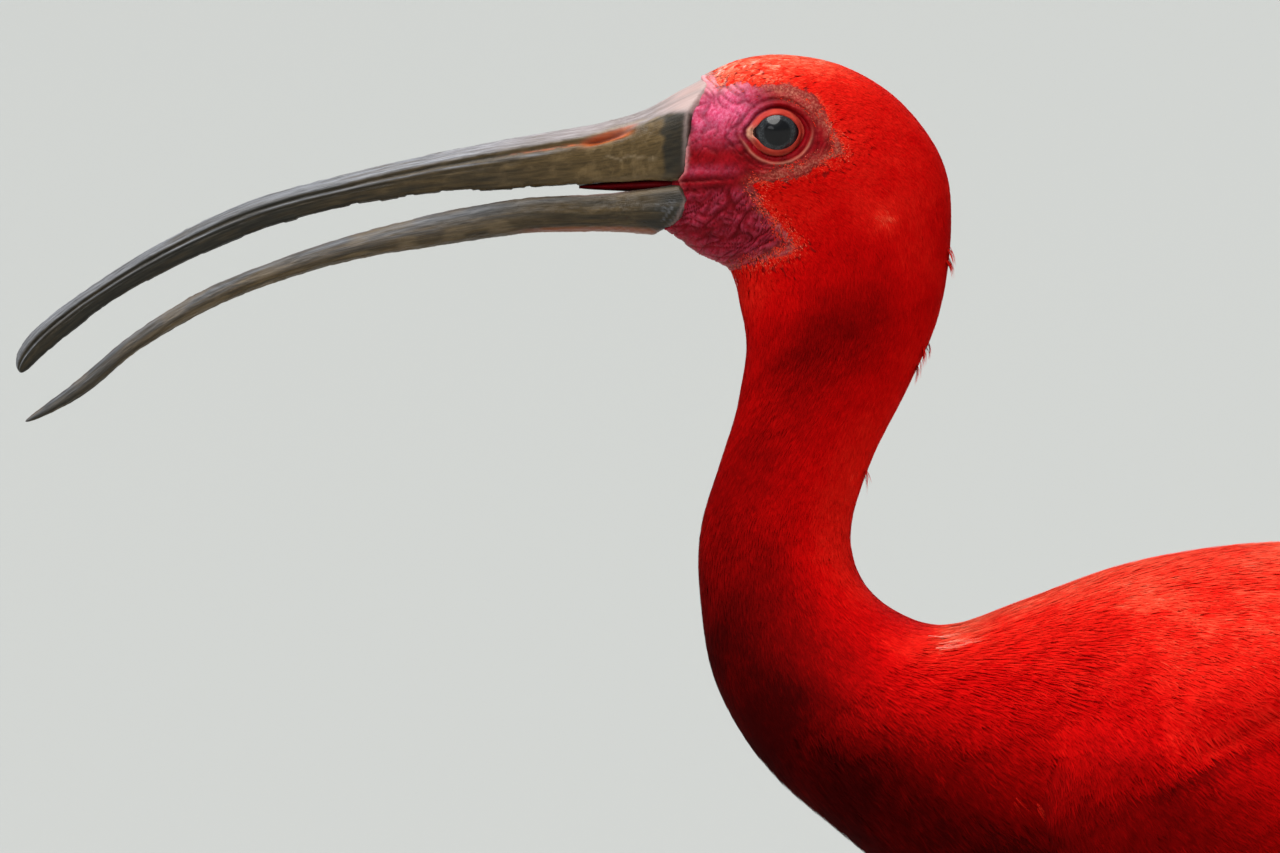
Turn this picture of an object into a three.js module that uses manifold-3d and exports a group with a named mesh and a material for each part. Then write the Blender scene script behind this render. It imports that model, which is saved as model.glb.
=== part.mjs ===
// A standing adult scarlet ibis, life size, in millimetres: neck raised in an S, bill a little open.
// +Z is up, the bill points to -X and the bird's left side faces -Y. The soles are at z = 0.
// The skin is a loft: each station gives the upper and lower edge of the side outline and a half width,
// and a section is a rounded oval in the plane through both edges.

import * as THREE from 'three';
import { mergeVertices } from 'three/addons/utils/BufferGeometryUtils.js';
import Module from 'manifold-3d';

const wasm = await Module();
wasm.setup();

const gap = 0.3; // between neighbouring pieces
const left = -1;
const right = 1;
const sides = { left, right };
const quarterTurn = Math.PI / 2;
const degrees = Math.PI / 180;

const material = (color, roughness) => new THREE.MeshStandardMaterial({ color, roughness, metalness: 0 });
const plumage = material(0xd01408, 0.75);
const flightPlumage = material(0xc0180c, 0.6);
const bareSkin = material(0xb03040, 0.55);
const billHorn = material(0x4a4238, 0.4);
const clawHorn = material(0x2c2420, 0.4);
const eyeball = material(0x15161a, 0.05);

// Side outline from the bill to the rump: [x, z] of the upper and lower edge.
const bodyStations = [
  { upper: [-96.5, 375], lower: [-102.5, 340.5], halfWidth: 9.3, topHeavy: -0.05 }, // bill base
  { upper: [-88.5, 378.5], lower: [-97, 336.5], halfWidth: 12.4, topHeavy: 0 }, // brow
  { upper: [-78.5, 379.5], lower: [-91.5, 334], halfWidth: 14.8, topHeavy: 0.05 }, // eye
  { upper: [-66, 377], lower: [-89.5, 330.5], halfWidth: 16, topHeavy: 0.08 }, // crown
  { upper: [-54, 369.5], lower: [-88.5, 326], halfWidth: 16.2, topHeavy: 0.08 }, // hind crown
  { upper: [-45, 357], lower: [-87.5, 321.5], halfWidth: 16, topHeavy: 0.04 }, // back of the head
  { upper: [-43, 343], lower: [-87, 317], halfWidth: 15.5, topHeavy: 0 }, // nape
  { upper: [-45.5, 324], lower: [-87.5, 312], halfWidth: 14.8, topHeavy: 0 },
  { upper: [-52, 308.5], lower: [-89.5, 302], halfWidth: 14.2, topHeavy: 0 },
  { upper: [-60, 292.5], lower: [-93, 291], halfWidth: 14, topHeavy: 0 },
  { upper: [-64.5, 277.5], lower: [-97, 277], halfWidth: 14.3, topHeavy: 0 },
  { upper: [-62, 266.5], lower: [-97, 262.5], halfWidth: 16, topHeavy: 0 }, // bend of the neck
  { upper: [-54, 259.5], lower: [-93.5, 244], halfWidth: 20, topHeavy: 0 },
  { upper: [-43, 257], lower: [-82.5, 226], halfWidth: 26, topHeavy: 0 }, // neck base
  { upper: [-26, 263], lower: [-65.5, 211], halfWidth: 33, topHeavy: 0.03 }, // shoulders
  { upper: [-2.5, 271], lower: [-44.5, 195], halfWidth: 40, topHeavy: 0.06 },
  { upper: [27.5, 275], lower: [-15.5, 177], halfWidth: 45, topHeavy: 0.08 },
  { upper: [60, 273], lower: [21.5, 164], halfWidth: 46.5, topHeavy: 0.08 }, // deepest belly
  { upper: [92, 266], lower: [60, 159.5], halfWidth: 45, topHeavy: 0.08 },
  { upper: [122.5, 252.5], lower: [96.5, 166], halfWidth: 39, topHeavy: 0.06 },
  { upper: [148, 236], lower: [130, 179.5], halfWidth: 29, topHeavy: 0.03 },
  { upper: [168.5, 220.5], lower: [156.5, 192.5], halfWidth: 17, topHeavy: 0 }, // rump
];
const rumpStation = bodyStations.length - 1;
const cuts = { headNeck: 6.3, neckMiddle: 9.2, neckTorso: 12.4 }; // stations where the body is parted

// The folded wing lies on the torso's stations, then on these, which carry it back over the tail.
const wingCarrier = [
  ...bodyStations.slice(0, rumpStation),
  { upper: [172, 221], lower: [158, 187], halfWidth: 27, topHeavy: 0 },
  { upper: [194.5, 209.5], lower: [185, 184], halfWidth: 20.5, topHeavy: 0 },
  { upper: [217, 197], lower: [209.5, 179.5], halfWidth: 14, topHeavy: 0 },
  { upper: [244, 184], lower: [239, 173], halfWidth: 8, topHeavy: 0 }, // tips of the primaries
];

const sideFullness = 0.88; // below 1 makes the oval sections a little boxier
const eye = { x: -80.5, y: 11.1, z: 363, ballRadius: 5.6, lidRadius: 5, lidThickness: 0.95, lidPlane: 14.4 };
const nostril = { x: -117.5, y: 5.4, z: 360.8, length: 8.4, height: 1.7, depth: 2.4, slope: 11 * degrees };
const gape = { x: -97.5, z: 352.2, length: 14, height: 1.1, reach: 40 };

// Bill halves, from the base to the tip.
const upperBillStations = [
  { upper: [-92, 376.5], lower: [-98, 353.2], halfWidth: 9 },
  { upper: [-106.5, 368.5], lower: [-109, 352.5], halfWidth: 7.6 },
  { upper: [-117.5, 365], lower: [-119, 352], halfWidth: 6.2 }, // nostrils
  { upper: [-135, 362], lower: [-135.5, 351], halfWidth: 5 },
  { upper: [-153, 358.5], lower: [-152.5, 350], halfWidth: 4.3 },
  { upper: [-172.5, 354], lower: [-170.5, 347.5], halfWidth: 3.8 },
  { upper: [-194, 348], lower: [-190, 342.5], halfWidth: 3.4 },
  { upper: [-213, 339], lower: [-209, 334.5], halfWidth: 3.1 },
  { upper: [-229, 329], lower: [-225, 325.5], halfWidth: 2.8 },
  { upper: [-240.5, 320], lower: [-236.5, 316.5], halfWidth: 2.5 },
  { upper: [-245, 313], lower: [-242.5, 310.5], halfWidth: 1.5 },
];
const lowerBillStations = [
  { upper: [-93, 352.6], lower: [-95, 339], halfWidth: 8.6 },
  { upper: [-109, 350.5], lower: [-109.5, 341], halfWidth: 7 },
  { upper: [-118.5, 349.5], lower: [-119, 341.5], halfWidth: 5.8 },
  { upper: [-135.5, 348.5], lower: [-135.5, 341], halfWidth: 4.6 },
  { upper: [-153, 345.5], lower: [-152.5, 338.5], halfWidth: 3.9 },
  { upper: [-172.5, 340.5], lower: [-171, 335.5], halfWidth: 3.4 },
  { upper: [-191.5, 334], lower: [-190, 330], halfWidth: 3 },
  { upper: [-205.5, 328], lower: [-204, 324], halfWidth: 2.7 },
  { upper: [-219.5, 319], lower: [-217.5, 316], halfWidth: 2.4 },
  { upper: [-231.5, 309], lower: [-229.5, 306.5], halfWidth: 2 },
  { upper: [-242.5, 301], lower: [-241, 300], halfWidth: 1 },
];
const billGroove = { angle: 72 * degrees, halfAngle: 13 * degrees, depth: 0.75 };

// Legs: places are [x, z] from the middle of the sole, y is the distance from the bird's middle plane.
const standX = 44; // the feet stand under the weight
const stride = 9; // the left foot stands this far ahead, the right one this far behind
const leg = {
  hip: [-12, 204], hipY: 24,
  knee: [-15, 172], kneeY: 26,
  calf: [-5, 152], calfY: 26,
  featherEnd: [4, 135], featherEndY: 25,
  hock: [11, 91], hockY: 25,
  footY: 25,
};
const toes = {
  inner: { turn: -27 * degrees, length: 40, joints: 3, start: 12.5 },
  middle: { turn: 3 * degrees, length: 50, joints: 4, start: 12.5 },
  outer: { turn: 34 * degrees, length: 44, joints: 4, start: 12.5 },
  hind: { turn: 176 * degrees, length: 20, joints: 2, start: 7 },
};
const toeHalfWidth = 2.6;
const toeHalfHeight = 2.9;
const toeSink = 0.45; // how much of the round sole the floor flattens
const clawLength = 8.5;

// Catmull-Rom through one value of the stations.
function blend(stations, t, read) {
  const last = stations.length - 1;
  const i = Math.max(0, Math.min(Math.floor(t), last - 1));
  const f = t - i;
  const at = (k) => read(stations[Math.max(0, Math.min(k, last))]);
  const [p, q, r, s] = [at(i - 1), at(i), at(i + 1), at(i + 2)];
  const bend = (2 * p - 5 * q + 4 * r - s) * f * f + (3 * q - p - 3 * r + s) * f * f * f;
  return q + 0.5 * ((r - p) * f + bend);
}

// The plane of a section: its middle, the unit vector to its upper edge, half its height and its normal.
function sectionAt(stations, t) {
  const upper = new THREE.Vector3(blend(stations, t, (s) => s.upper[0]), 0, blend(stations, t, (s) => s.upper[1]));
  const lower = new THREE.Vector3(blend(stations, t, (s) => s.lower[0]), 0, blend(stations, t, (s) => s.lower[1]));
  const up = upper.clone().sub(lower);
  const halfHeight = up.length() / 2;
  up.normalize();
  const middle = upper.add(lower).multiplyScalar(0.5);
  return { middle, up, halfHeight, normal: new THREE.Vector3(up.z, 0, -up.x) };
}

// A point of a section. The angle starts at the upper edge and runs over the left side.
function skinPoint(stations, t, angle, grow = 0) {
  const { middle, up, halfHeight } = sectionAt(stations, t);
  const halfWidth = blend(stations, t, (s) => s.halfWidth) + grow;
  const topHeavy = blend(stations, t, (s) => s.topHeavy ?? 0);
  const across = Math.sign(Math.sin(angle)) * Math.abs(Math.sin(angle)) ** sideFullness;
  const point = middle.clone().addScaledVector(up, (halfHeight + grow) * Math.cos(angle));
  point.y = left * halfWidth * across * (1 + topHeavy * Math.cos(angle));
  return point;
}

// Turns a closed three.js geometry into a solid that can be joined and cut.
function solid(geometry) {
  const bare = new THREE.BufferGeometry();
  bare.setAttribute('position', geometry.getAttribute('position'));
  bare.setIndex(geometry.index);
  const merged = mergeVertices(bare, 1e-4);
  const vertProperties = new Float32Array(merged.getAttribute('position').array);
  const triVerts = new Uint32Array(merged.index.array);
  const build = () => new wasm.Manifold(new wasm.Mesh({ numProp: 3, vertProperties, triVerts }));
  const made = build();
  if (made.volume() > 0) return made;
  for (let i = 0; i < triVerts.length; i += 3) {
    [triVerts[i + 1], triVerts[i + 2]] = [triVerts[i + 2], triVerts[i + 1]];
  }
  return build();
}

// A closed body of rings with a fan on each end. Quads from mirrorFrom on are split the other way, so that
// the two faces of a thin vane bend alike.
function ringSolid(rings, mirrorFrom = Infinity) {
  const count = rings[0].length;
  const points = rings.flat();
  const index = [];
  for (let i = 0; i + 1 < rings.length; i += 1) {
    for (let j = 0; j < count; j += 1) {
      const [a, b] = [i * count + j, i * count + ((j + 1) % count)];
      const [c, d] = [a + count, b + count];
      if (j < mirrorFrom) index.push(a, b, d, a, d, c);
      else index.push(a, b, c, b, d, c);
    }
  }
  const cap = (ring, start, reverse) => {
    const centre = ring.reduce((sum, p) => sum.add(p), new THREE.Vector3()).divideScalar(count);
    points.push(centre);
    for (let j = 0; j < count; j += 1) {
      const [a, b] = [start + j, start + ((j + 1) % count)];
      index.push(points.length - 1, ...(reverse ? [b, a] : [a, b]));
    }
  };
  cap(rings[0], 0, true);
  cap(rings[rings.length - 1], (rings.length - 1) * count, false);
  const geometry = new THREE.BufferGeometry().setFromPoints(points);
  geometry.setIndex(index);
  return solid(geometry);
}

const upward = new THREE.Vector3(0, 0, 1);
const downward = new THREE.Vector3(0, 0, -1);
const mix = (a, b, share) => a + (b - a) * share;
const smooth = (share) => share * share * (3 - 2 * share);
const steps = (from, to, count) => Array.from({ length: count + 1 }, (_, i) => from + ((to - from) * i) / count);
const turns = (count) => Array.from({ length: count }, (_, j) => (2 * Math.PI * j) / count);

function loft(stations, from, to, rings, around, grow = 0) {
  return ringSolid(steps(from, to, rings).map((t) => turns(around).map((a) => skinPoint(stations, t, a, grow))));
}

// Keeps what lies past the plane through a point, in the direction of the normal.
const keepPast = (body, point, normal) => body.trimByPlane([normal.x, normal.y, normal.z], point.dot(normal));

function cutAfter(body, stations, t, shift = gap / 2) {
  const { middle, normal } = sectionAt(stations, t);
  return keepPast(body, middle.clone().addScaledVector(normal, shift), normal);
}

function cutBefore(body, stations, t, shift = gap / 2) {
  const { middle, normal } = sectionAt(stations, t);
  return keepPast(body, middle.clone().addScaledVector(normal, -shift), normal.clone().negate());
}

function placed(geometry, position, rotation = new THREE.Euler(), scale = new THREE.Vector3(1, 1, 1)) {
  const matrix = new THREE.Matrix4().compose(position, new THREE.Quaternion().setFromEuler(rotation), scale);
  return solid(geometry.clone().applyMatrix4(matrix));
}

const join = (bodies) => bodies.slice(1).reduce((whole, body) => whole.add(body), bodies[0]);

const bird = new THREE.Group();

// Adds the largest closed surface of a solid as a named mesh.
function addNode(name, body, look) {
  const largest = body.decompose().reduce((best, part) => (part.volume() > best.volume() ? part : best));
  const { vertProperties, triVerts, numProp, numVert } = largest.getMesh();
  const position = new Float32Array(numVert * 3);
  for (let i = 0; i < numVert; i += 1) position.set(vertProperties.subarray(i * numProp, i * numProp + 3), i * 3);
  const geometry = new THREE.BufferGeometry();
  geometry.setAttribute('position', new THREE.BufferAttribute(position, 3));
  geometry.setIndex(new THREE.BufferAttribute(triVerts, 1));
  const mesh = new THREE.Mesh(geometry, look);
  mesh.name = name;
  bird.add(mesh);
}

// Head: the front of the loft, with a lid ring round each eye, a socket for it and the gape crease.
function head() {
  const skull = cutBefore(loft(bodyStations, 0, cuts.headNeck + 0.5, 13, 16), bodyStations, cuts.headNeck);
  const ball = new THREE.SphereGeometry(eye.ballRadius + gap, 14, 7);
  const lid = new THREE.TorusGeometry(eye.lidRadius, eye.lidThickness, 5, 14);
  const upright = new THREE.Euler(quarterTurn, 0, 0);
  let body = skull;
  for (const side of Object.values(sides)) {
    body = body.add(placed(lid, new THREE.Vector3(eye.x, side * eye.lidPlane, eye.z), upright));
    body = body.subtract(placed(ball, new THREE.Vector3(eye.x, side * eye.y, eye.z), upright));
  }
  const crease = new THREE.CylinderGeometry(gape.height, gape.height, gape.reach, 4);
  const flat = new THREE.Vector3(gape.length / gape.height / 2, 1, 1);
  return body.subtract(placed(crease, new THREE.Vector3(gape.x, 0, gape.z), upright, flat));
}

function eyeSolid(side) {
  const ball = new THREE.SphereGeometry(eye.ballRadius, 14, 7);
  return placed(ball, new THREE.Vector3(eye.x, side * eye.y, eye.z), new THREE.Euler(quarterTurn, 0, 0));
}

// A bill half: rings of the given angles, pulled in along the groove, cut off where the face begins.
function billHalf(stations, angles, rings, groove) {
  const ring = (t) => angles.map((angle) => {
    const fold = Math.min(angle, 2 * Math.PI - angle);
    const inGroove = groove && t > groove.from && Math.abs(fold - groove.angle) < groove.halfAngle / 2;
    return skinPoint(stations, t, angle, inGroove ? -groove.depth : 0);
  });
  const body = ringSolid(steps(0, stations.length - 1, rings).map(ring));
  return cutBefore(body, bodyStations, 0, gap);
}

function upperBill() {
  const half = [0, 30, 59, 72, 85, 115, 150].map((a) => a * degrees);
  const angles = [...half, Math.PI, ...half.slice(1).reverse().map((a) => 2 * Math.PI - a)];
  let body = billHalf(upperBillStations, angles, 24, { ...billGroove, from: 1.6 });
  const slit = new THREE.SphereGeometry(0.5, 8, 5);
  const size = new THREE.Vector3(nostril.length, nostril.depth, nostril.height);
  for (const side of Object.values(sides)) {
    const place = new THREE.Vector3(nostril.x, side * nostril.y, nostril.z);
    body = body.subtract(placed(slit, place, new THREE.Euler(0, -nostril.slope, 0), size));
  }
  return body;
}

function lowerBill() {
  const half = [0, 38, 62, 100, 140].map((a) => a * degrees);
  const angles = [...half, Math.PI, ...half.slice(1).reverse().map((a) => 2 * Math.PI - a)];
  return billHalf(lowerBillStations, angles, 20);
}

const torsoBody = (grow) => loft(bodyStations, cuts.neckTorso - 0.5, rumpStation + grow / 12, 16, 20, grow);
const grownTorso = torsoBody(gap);

// A point of the wing's chart: station, angle down from the back's midline, height over the torso's skin.
function wingPoint(side, station, angle, lift) {
  const here = skinPoint(wingCarrier, station, angle);
  const alongBody = skinPoint(wingCarrier, station + 0.05, angle).sub(here);
  const downSide = skinPoint(wingCarrier, station, angle + 0.02).sub(here);
  const outward = new THREE.Vector3().crossVectors(downSide, alongBody).normalize();
  here.addScaledVector(outward, lift);
  here.y *= -side;
  return here;
}

// The folded wing's room on its chart, from the wrist to the tip, kept clear of the thigh.
const wingEdges = [
  { station: 15.15, top: 66, bottom: 108, depth: 3 },
  { station: 15.8, top: 42, bottom: 122, depth: 5.6 },
  { station: 17, top: 28, bottom: 124, depth: 6 },
  { station: 18.5, top: 20, bottom: 118, depth: 6 },
  { station: 20, top: 18, bottom: 110, depth: 5.5 },
  { station: 21.4, top: 22, bottom: 100, depth: 4.5 },
  { station: 22.6, top: 34, bottom: 92, depth: 3.6 },
  { station: 24, top: 62, bottom: 88, depth: 2 },
];

// The arm and hand under the feathers: a thin pad that every feather of the wing is rooted in.
const wingCore = [
  { station: 15.2, top: 72, bottom: 104, depth: 3.2 },
  { station: 15.7, top: 52, bottom: 116, depth: 5 },
  { station: 16.6, top: 40, bottom: 119, depth: 5 },
  { station: 17.8, top: 34, bottom: 115, depth: 4.2 },
  { station: 18.9, top: 36, bottom: 108, depth: 3.2 },
  { station: 19.7, top: 50, bottom: 96, depth: 2.2 },
];

function wingPad(side, edges, rings, grow = 0) {
  const around = 8;
  const ring = (t) => turns(around).map((turn) => {
    const across = (1 - Math.cos(turn)) / 2;
    const outer = turn > 0 && turn < Math.PI;
    const top = blend(edges, t, (e) => e.top) - 3 * grow;
    const bottom = blend(edges, t, (e) => e.bottom) + 8 * grow;
    const depth = blend(edges, t, (e) => e.depth) + grow;
    const lift = outer ? 1 + depth * Math.sin(Math.PI * across) ** 0.5 : 1.6 - 4 * grow;
    return wingPoint(side, blend(edges, t, (e) => e.station), (top + (bottom - top) * across) * degrees, lift);
  });
  return ringSolid(steps(0, edges.length - 1, rings).map(ring));
}

// Rows of feathers from the innermost to the outermost. Roots and tips run from the lowest feather to the
// highest one, as [station, degrees down from the back]. The sizes are in mm: sink and lift are the height
// over the body at the root and past it, and rise is what each feather adds to that of the one below.
// Every feather of a row bends at the same stations, a pace apart, so that neighbours stay clear.
const wingRows = [
  { name: 'primaries', count: 4, roots: [[17.6, 110], [18.9, 100]], tips: [[23.7, 88], [22.3, 62]],
    width: 8, sink: 2.3, lift: 2.2, rise: 0.7, roll: 0.12, bow: 3, pace: 1.7 },
  { name: 'secondaries', count: 6, roots: [[17, 110], [18.6, 76]], tips: [[19.8, 112], [21.9, 60]],
    width: 11.5, sink: 2.6, lift: 3.7, rise: 0.45, roll: 0.16, bow: 2, pace: 1.2 },
  { name: 'tertials', count: 3, roots: [[18, 66], [18, 50]], tips: [[22.1, 58], [21.9, 34]],
    width: 14, sink: 3.2, lift: 5.4, rise: 0.8, roll: 0.1, bow: 0, pace: 1.2 },
  { name: 'greaterCoverts', count: 6, roots: [[16.6, 110], [18.2, 68]], tips: [[17.9, 114], [20.1, 64]],
    width: 13.5, sink: 3.4, lift: 5.6, rise: 0.4, roll: 0.13, bow: 1, pace: 1.2 },
  { name: 'medianCoverts', count: 5, roots: [[16, 108], [17.4, 62]], tips: [[17, 115], [19.1, 60]],
    width: 17, sink: 3.8, lift: 6.4, rise: 0.25, roll: 0.11, bow: 1, pace: 1.1 },
  { name: 'lesserCoverts', count: 5, roots: [[15.35, 96], [16.3, 58]], tips: [[16.2, 111], [17.9, 56]],
    width: 17, sink: 4, lift: 6.9, rise: 0.2, roll: 0.1, bow: 0, pace: 1 },
  { name: 'longScapulars', count: 3, roots: [[17, 58], [17.3, 44]], tips: [[19.7, 62], [20.3, 38]],
    width: 14, sink: 4, lift: 8.2, rise: 0.7, roll: 0.1, bow: 0, pace: 1 },
  { name: 'scapulars', count: 3, roots: [[16.1, 62], [16.4, 46]], tips: [[18, 74], [18.7, 42]],
    width: 18, sink: 4, lift: 8.6, rise: 0.6, roll: 0.1, bow: 0, pace: 1 },
];
const vaneThickness = 0.55;

// The outline of a vane: full from a third of its length on, and rounded to a narrow tip.
const vaneWidth = (share) => (0.55 + 0.45 * Math.min(1, share / 0.35)) * Math.sqrt(Math.max(0.012, 1 - share ** 5));

// Steps on the chart, for one mm along a direction that lies in the surface.
function chartStep(side, station, angle, direction) {
  const here = wingPoint(side, station, angle, 0);
  const alongStation = wingPoint(side, station + 0.02, angle, 0).sub(here).multiplyScalar(50);
  const alongAngle = wingPoint(side, station, angle + 0.01, 0).sub(here).multiplyScalar(100);
  const [p, q, r] = [alongStation.dot(alongStation), alongStation.dot(alongAngle), alongAngle.dot(alongAngle)];
  const [u, v] = [direction.dot(alongStation), direction.dot(alongAngle)];
  return [(u * r - v * q) / (p * r - q * q), (v * p - u * q) / (p * r - q * q)];
}

// One feather of the wing: a ribbon that follows the body's curve, four-cornered in section.
function wingVane(side, row, share) {
  const rank = share * (row.count - 1);
  const pick = (ends, k) => mix(ends[0][k], ends[1][k], share);
  const place = (s) => [
    mix(pick(row.roots, 0), pick(row.tips, 0), s),
    (mix(pick(row.roots, 1), pick(row.tips, 1), s) + row.bow * Math.sin(Math.PI * s)) * degrees,
  ];
  const [first, last] = [place(0)[0], place(1)[0]];
  const bends = steps(0, 12, 12).map((k) => (15 + k * row.pace - first) / (last - first));
  const shares = [0, ...bends.filter((s) => s > 0.12 && s < 0.8), 0.92, 1];
  return ringSolid(shares.map((s) => {
    const [station, angle] = place(s);
    const [nextStation, nextAngle] = place(s + 0.01);
    const here = wingPoint(side, station, angle, 0);
    const along = wingPoint(side, nextStation, nextAngle, 0).sub(here).normalize();
    const outward = wingPoint(side, station, angle, 1).sub(here).normalize();
    const across = new THREE.Vector3().crossVectors(outward, along).multiplyScalar(side);
    const [stepStation, stepAngle] = chartStep(side, station, angle, across);
    const half = (row.width / 2) * vaneWidth(s);
    const free = mix(row.sink, row.lift, smooth(Math.min(1, s / 0.4))) + row.rise * rank;
    const corner = (offset, up) => {
      const roll = row.roll * offset * half;
      return wingPoint(side, station + stepStation * offset * half, angle + stepAngle * offset * half, free + roll + up);
    };
    const [upper, lower] = [vaneThickness / 2, -vaneThickness / 2];
    return [corner(-1, upper), corner(1, upper), corner(1, lower), corner(-1, lower)];
  }), 2);
}

function wing(side) {
  const vanes = wingRows.flatMap((row) => steps(0, 1, row.count - 1).map((share) => wingVane(side, row, share)));
  return join([wingPad(side, wingCore, 8), ...vanes]).subtract(grownTorso);
}

// The tail's own frame: distance from its root, distance to the side, height over its middle line.
const tail = { root: [150, 203], tip: [244.4, 168], pairs: 6, width: 10, spread: 3.3, rootSpread: 1.3, step: 0.85 };
const tailLength = Math.hypot(tail.tip[0] - tail.root[0], tail.tip[1] - tail.root[1]);
const tailSlope = Math.atan2(tail.root[1] - tail.tip[1], tail.tip[0] - tail.root[0]);

function tailPoint(distance, across, lift) {
  const share = distance / tailLength;
  const x = mix(tail.root[0], tail.tip[0], share) + lift * Math.sin(tailSlope);
  const z = mix(tail.root[1], tail.tip[1], share) + lift * Math.cos(tailSlope);
  return new THREE.Vector3(x, across, z);
}

// One feather of the tail. The far one of a pair of places gives its lean, and roll tilts it outwards.
function tailVane({ from, to, rootAcross, tipAcross, width, lift, tipLift = lift, roll, bends }) {
  return ringSolid([0, ...bends, 1].map((s) => {
    const half = (width / 2) * vaneWidth(s);
    const middle = mix(rootAcross, tipAcross, s);
    const corner = (offset, up) => {
      const height = mix(lift, tipLift, s) + roll * offset * half + up;
      return tailPoint(mix(from, to, s), middle + offset * half, height);
    };
    const [upper, lower] = [vaneThickness / 2, -vaneThickness / 2];
    return [corner(-1, upper), corner(1, upper), corner(1, lower), corner(-1, lower)];
  }), 2);
}

// The stump of the tail, which the feathers are rooted in. It meets the rump with the rump's own section.
function tailStump() {
  const { middle, up, halfHeight } = sectionAt(bodyStations, rumpStation);
  const halfWidth = bodyStations[rumpStation].halfWidth;
  const ahead = new THREE.Vector3(Math.cos(tailSlope), 0, -Math.sin(tailSlope));
  return ringSolid(steps(-4, 34, 4).map((distance) => {
    const share = Math.max(0, distance) / 34;
    const centre = middle.clone().addScaledVector(ahead, distance).lerp(tailPoint(48, 0, 0), share ** 2);
    return turns(12).map((angle) => {
      const point = centre.clone().addScaledVector(up, halfHeight * mix(1, 0.16, share ** 0.8) * Math.cos(angle));
      point.y = halfWidth * mix(1, 0.7, share) * Math.sin(angle);
      return point;
    });
  }));
}

function tailNode() {
  const pieces = [tailStump()];
  for (let rank = 0; rank < tail.pairs; rank += 1) {
    for (const side of Object.values(sides)) {
      const out = side * (rank + 0.5);
      const lift = 1.8 - tail.step * (rank + (rank > 0 || side === left ? 1 : 0)); // right one on top
      pieces.push(tailVane({ from: 24, to: tailLength - 1.1 * rank, rootAcross: out * tail.rootSpread,
        tipAcross: out * tail.spread, width: tail.width, lift, roll: -0.03 * side, bends: [0.5, 0.86] }));
    }
  }
  // coverts over and under the tail's feathers
  for (const rank of [-1.5, -0.5, 0.5, 1.5]) {
    const reach = 62 - 5 * Math.abs(rank);
    const cover = { from: 14, to: reach, rootAcross: rank * 4, tipAcross: rank * 6.4, width: 14, bends: [0.7] };
    pieces.push(tailVane({ ...cover, lift: 9 - Math.abs(rank) * 1.4, tipLift: 3.6 - Math.abs(rank) * 1.1, roll: -0.1 * Math.sign(rank) }));
    pieces.push(tailVane({ ...cover, to: reach + 4, lift: -8 + Math.abs(rank) * 1.2, tipLift: -5.4 + Math.abs(rank) * 0.5, roll: 0.1 * Math.sign(rank) }));
  }
  return join(pieces).subtract(grownTorso);
}

// A limb along points, with a half width to the side and one across it at each share of the length.
function limb(points, halfSizes, rings, around, sideVector = new THREE.Vector3(0, 1, 0)) {
  const path = new THREE.CatmullRomCurve3(points);
  return ringSolid(steps(0, 1, rings).map((share) => {
    const centre = path.getPoint(share);
    const tangent = path.getTangent(share);
    const side = sideVector.clone().addScaledVector(tangent, -sideVector.dot(tangent)).normalize();
    const other = new THREE.Vector3().crossVectors(tangent, side);
    const [halfSide, halfOther] = halfSizes(share);
    return turns(around).map((angle) => centre.clone()
      .addScaledVector(side, halfSide * Math.sin(angle))
      .addScaledVector(other, halfOther * Math.cos(angle)));
  }));
}

function legPlace(side, key) {
  const footX = standX + stride * side;
  const [x, z] = leg[key];
  return new THREE.Vector3(footX + x, side * leg[`${key}Y`], z);
}

function thigh(side) {
  const points = ['hip', 'knee', 'calf', 'featherEnd'].map((key) => legPlace(side, key));
  points.push(points[3].clone().add(new THREE.Vector3(1, 0, -6)));
  const sizes = (share) => [mix(15, 5.8, smooth(share)), mix(27, 6.4, smooth(share))];
  const feathered = limb(points, sizes, 8, 12).subtract(grownTorso).subtract(wingPad(side, wingEdges, 18, 1));
  return keepPast(feathered, new THREE.Vector3(0, 0, leg.featherEnd[1]), upward);
}

function shank(side) {
  const [from, to] = [legPlace(side, 'featherEnd'), legPlace(side, 'hock')];
  const start = from.clone().lerp(to, -0.1);
  const body = limb([start, to], (share) => [mix(4, 3.3, share), mix(4.4, 3.9, share)], 6, 8);
  const below = keepPast(body, new THREE.Vector3(0, 0, from.z - gap), downward);
  return keepPast(below, new THREE.Vector3(0, 0, to.z + 4 + gap / 2), upward);
}

const footTop = 8.2;
const footPlace = (side) => new THREE.Vector3(standX + stride * side, side * leg.footY, 0);

// The bare foot bone, with a knob at the hock and raised scutes down its front.
function tarsus(side) {
  const foot = footPlace(side);
  const hock = legPlace(side, 'hock');
  const top = hock.clone().add(new THREE.Vector3(-0.9, 0, 4.6));
  const low = foot.clone().setZ(footTop - 2);
  const scutes = 10;
  const rings = scutes * 2 + 4;
  const sizes = (share) => {
    const knob = Math.exp(-(((share - 0.93) / 0.06) ** 2));
    const plate = (Math.round(share * rings) % 2) * 0.35;
    return [mix(2.7, 2.5, share) + 2.1 * knob, mix(3.1, 2.9, share) + 2.1 * knob + (share < 0.86 ? plate : 0)];
  };
  const body = limb([low, low.clone().lerp(hock, 0.5), hock, top], sizes, rings, 8);
  const above = keepPast(body, new THREE.Vector3(0, 0, footTop + gap / 2), upward);
  return keepPast(above, new THREE.Vector3(0, 0, hock.z + 4 - gap / 2), downward);
}

// A toe points to -X when its turn is 0. The inner toe turns to the bird's middle plane.
function toeDirection(side, toe) {
  return new THREE.Vector3(-Math.cos(toe.turn), side * Math.sin(toe.turn), 0);
}

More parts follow.
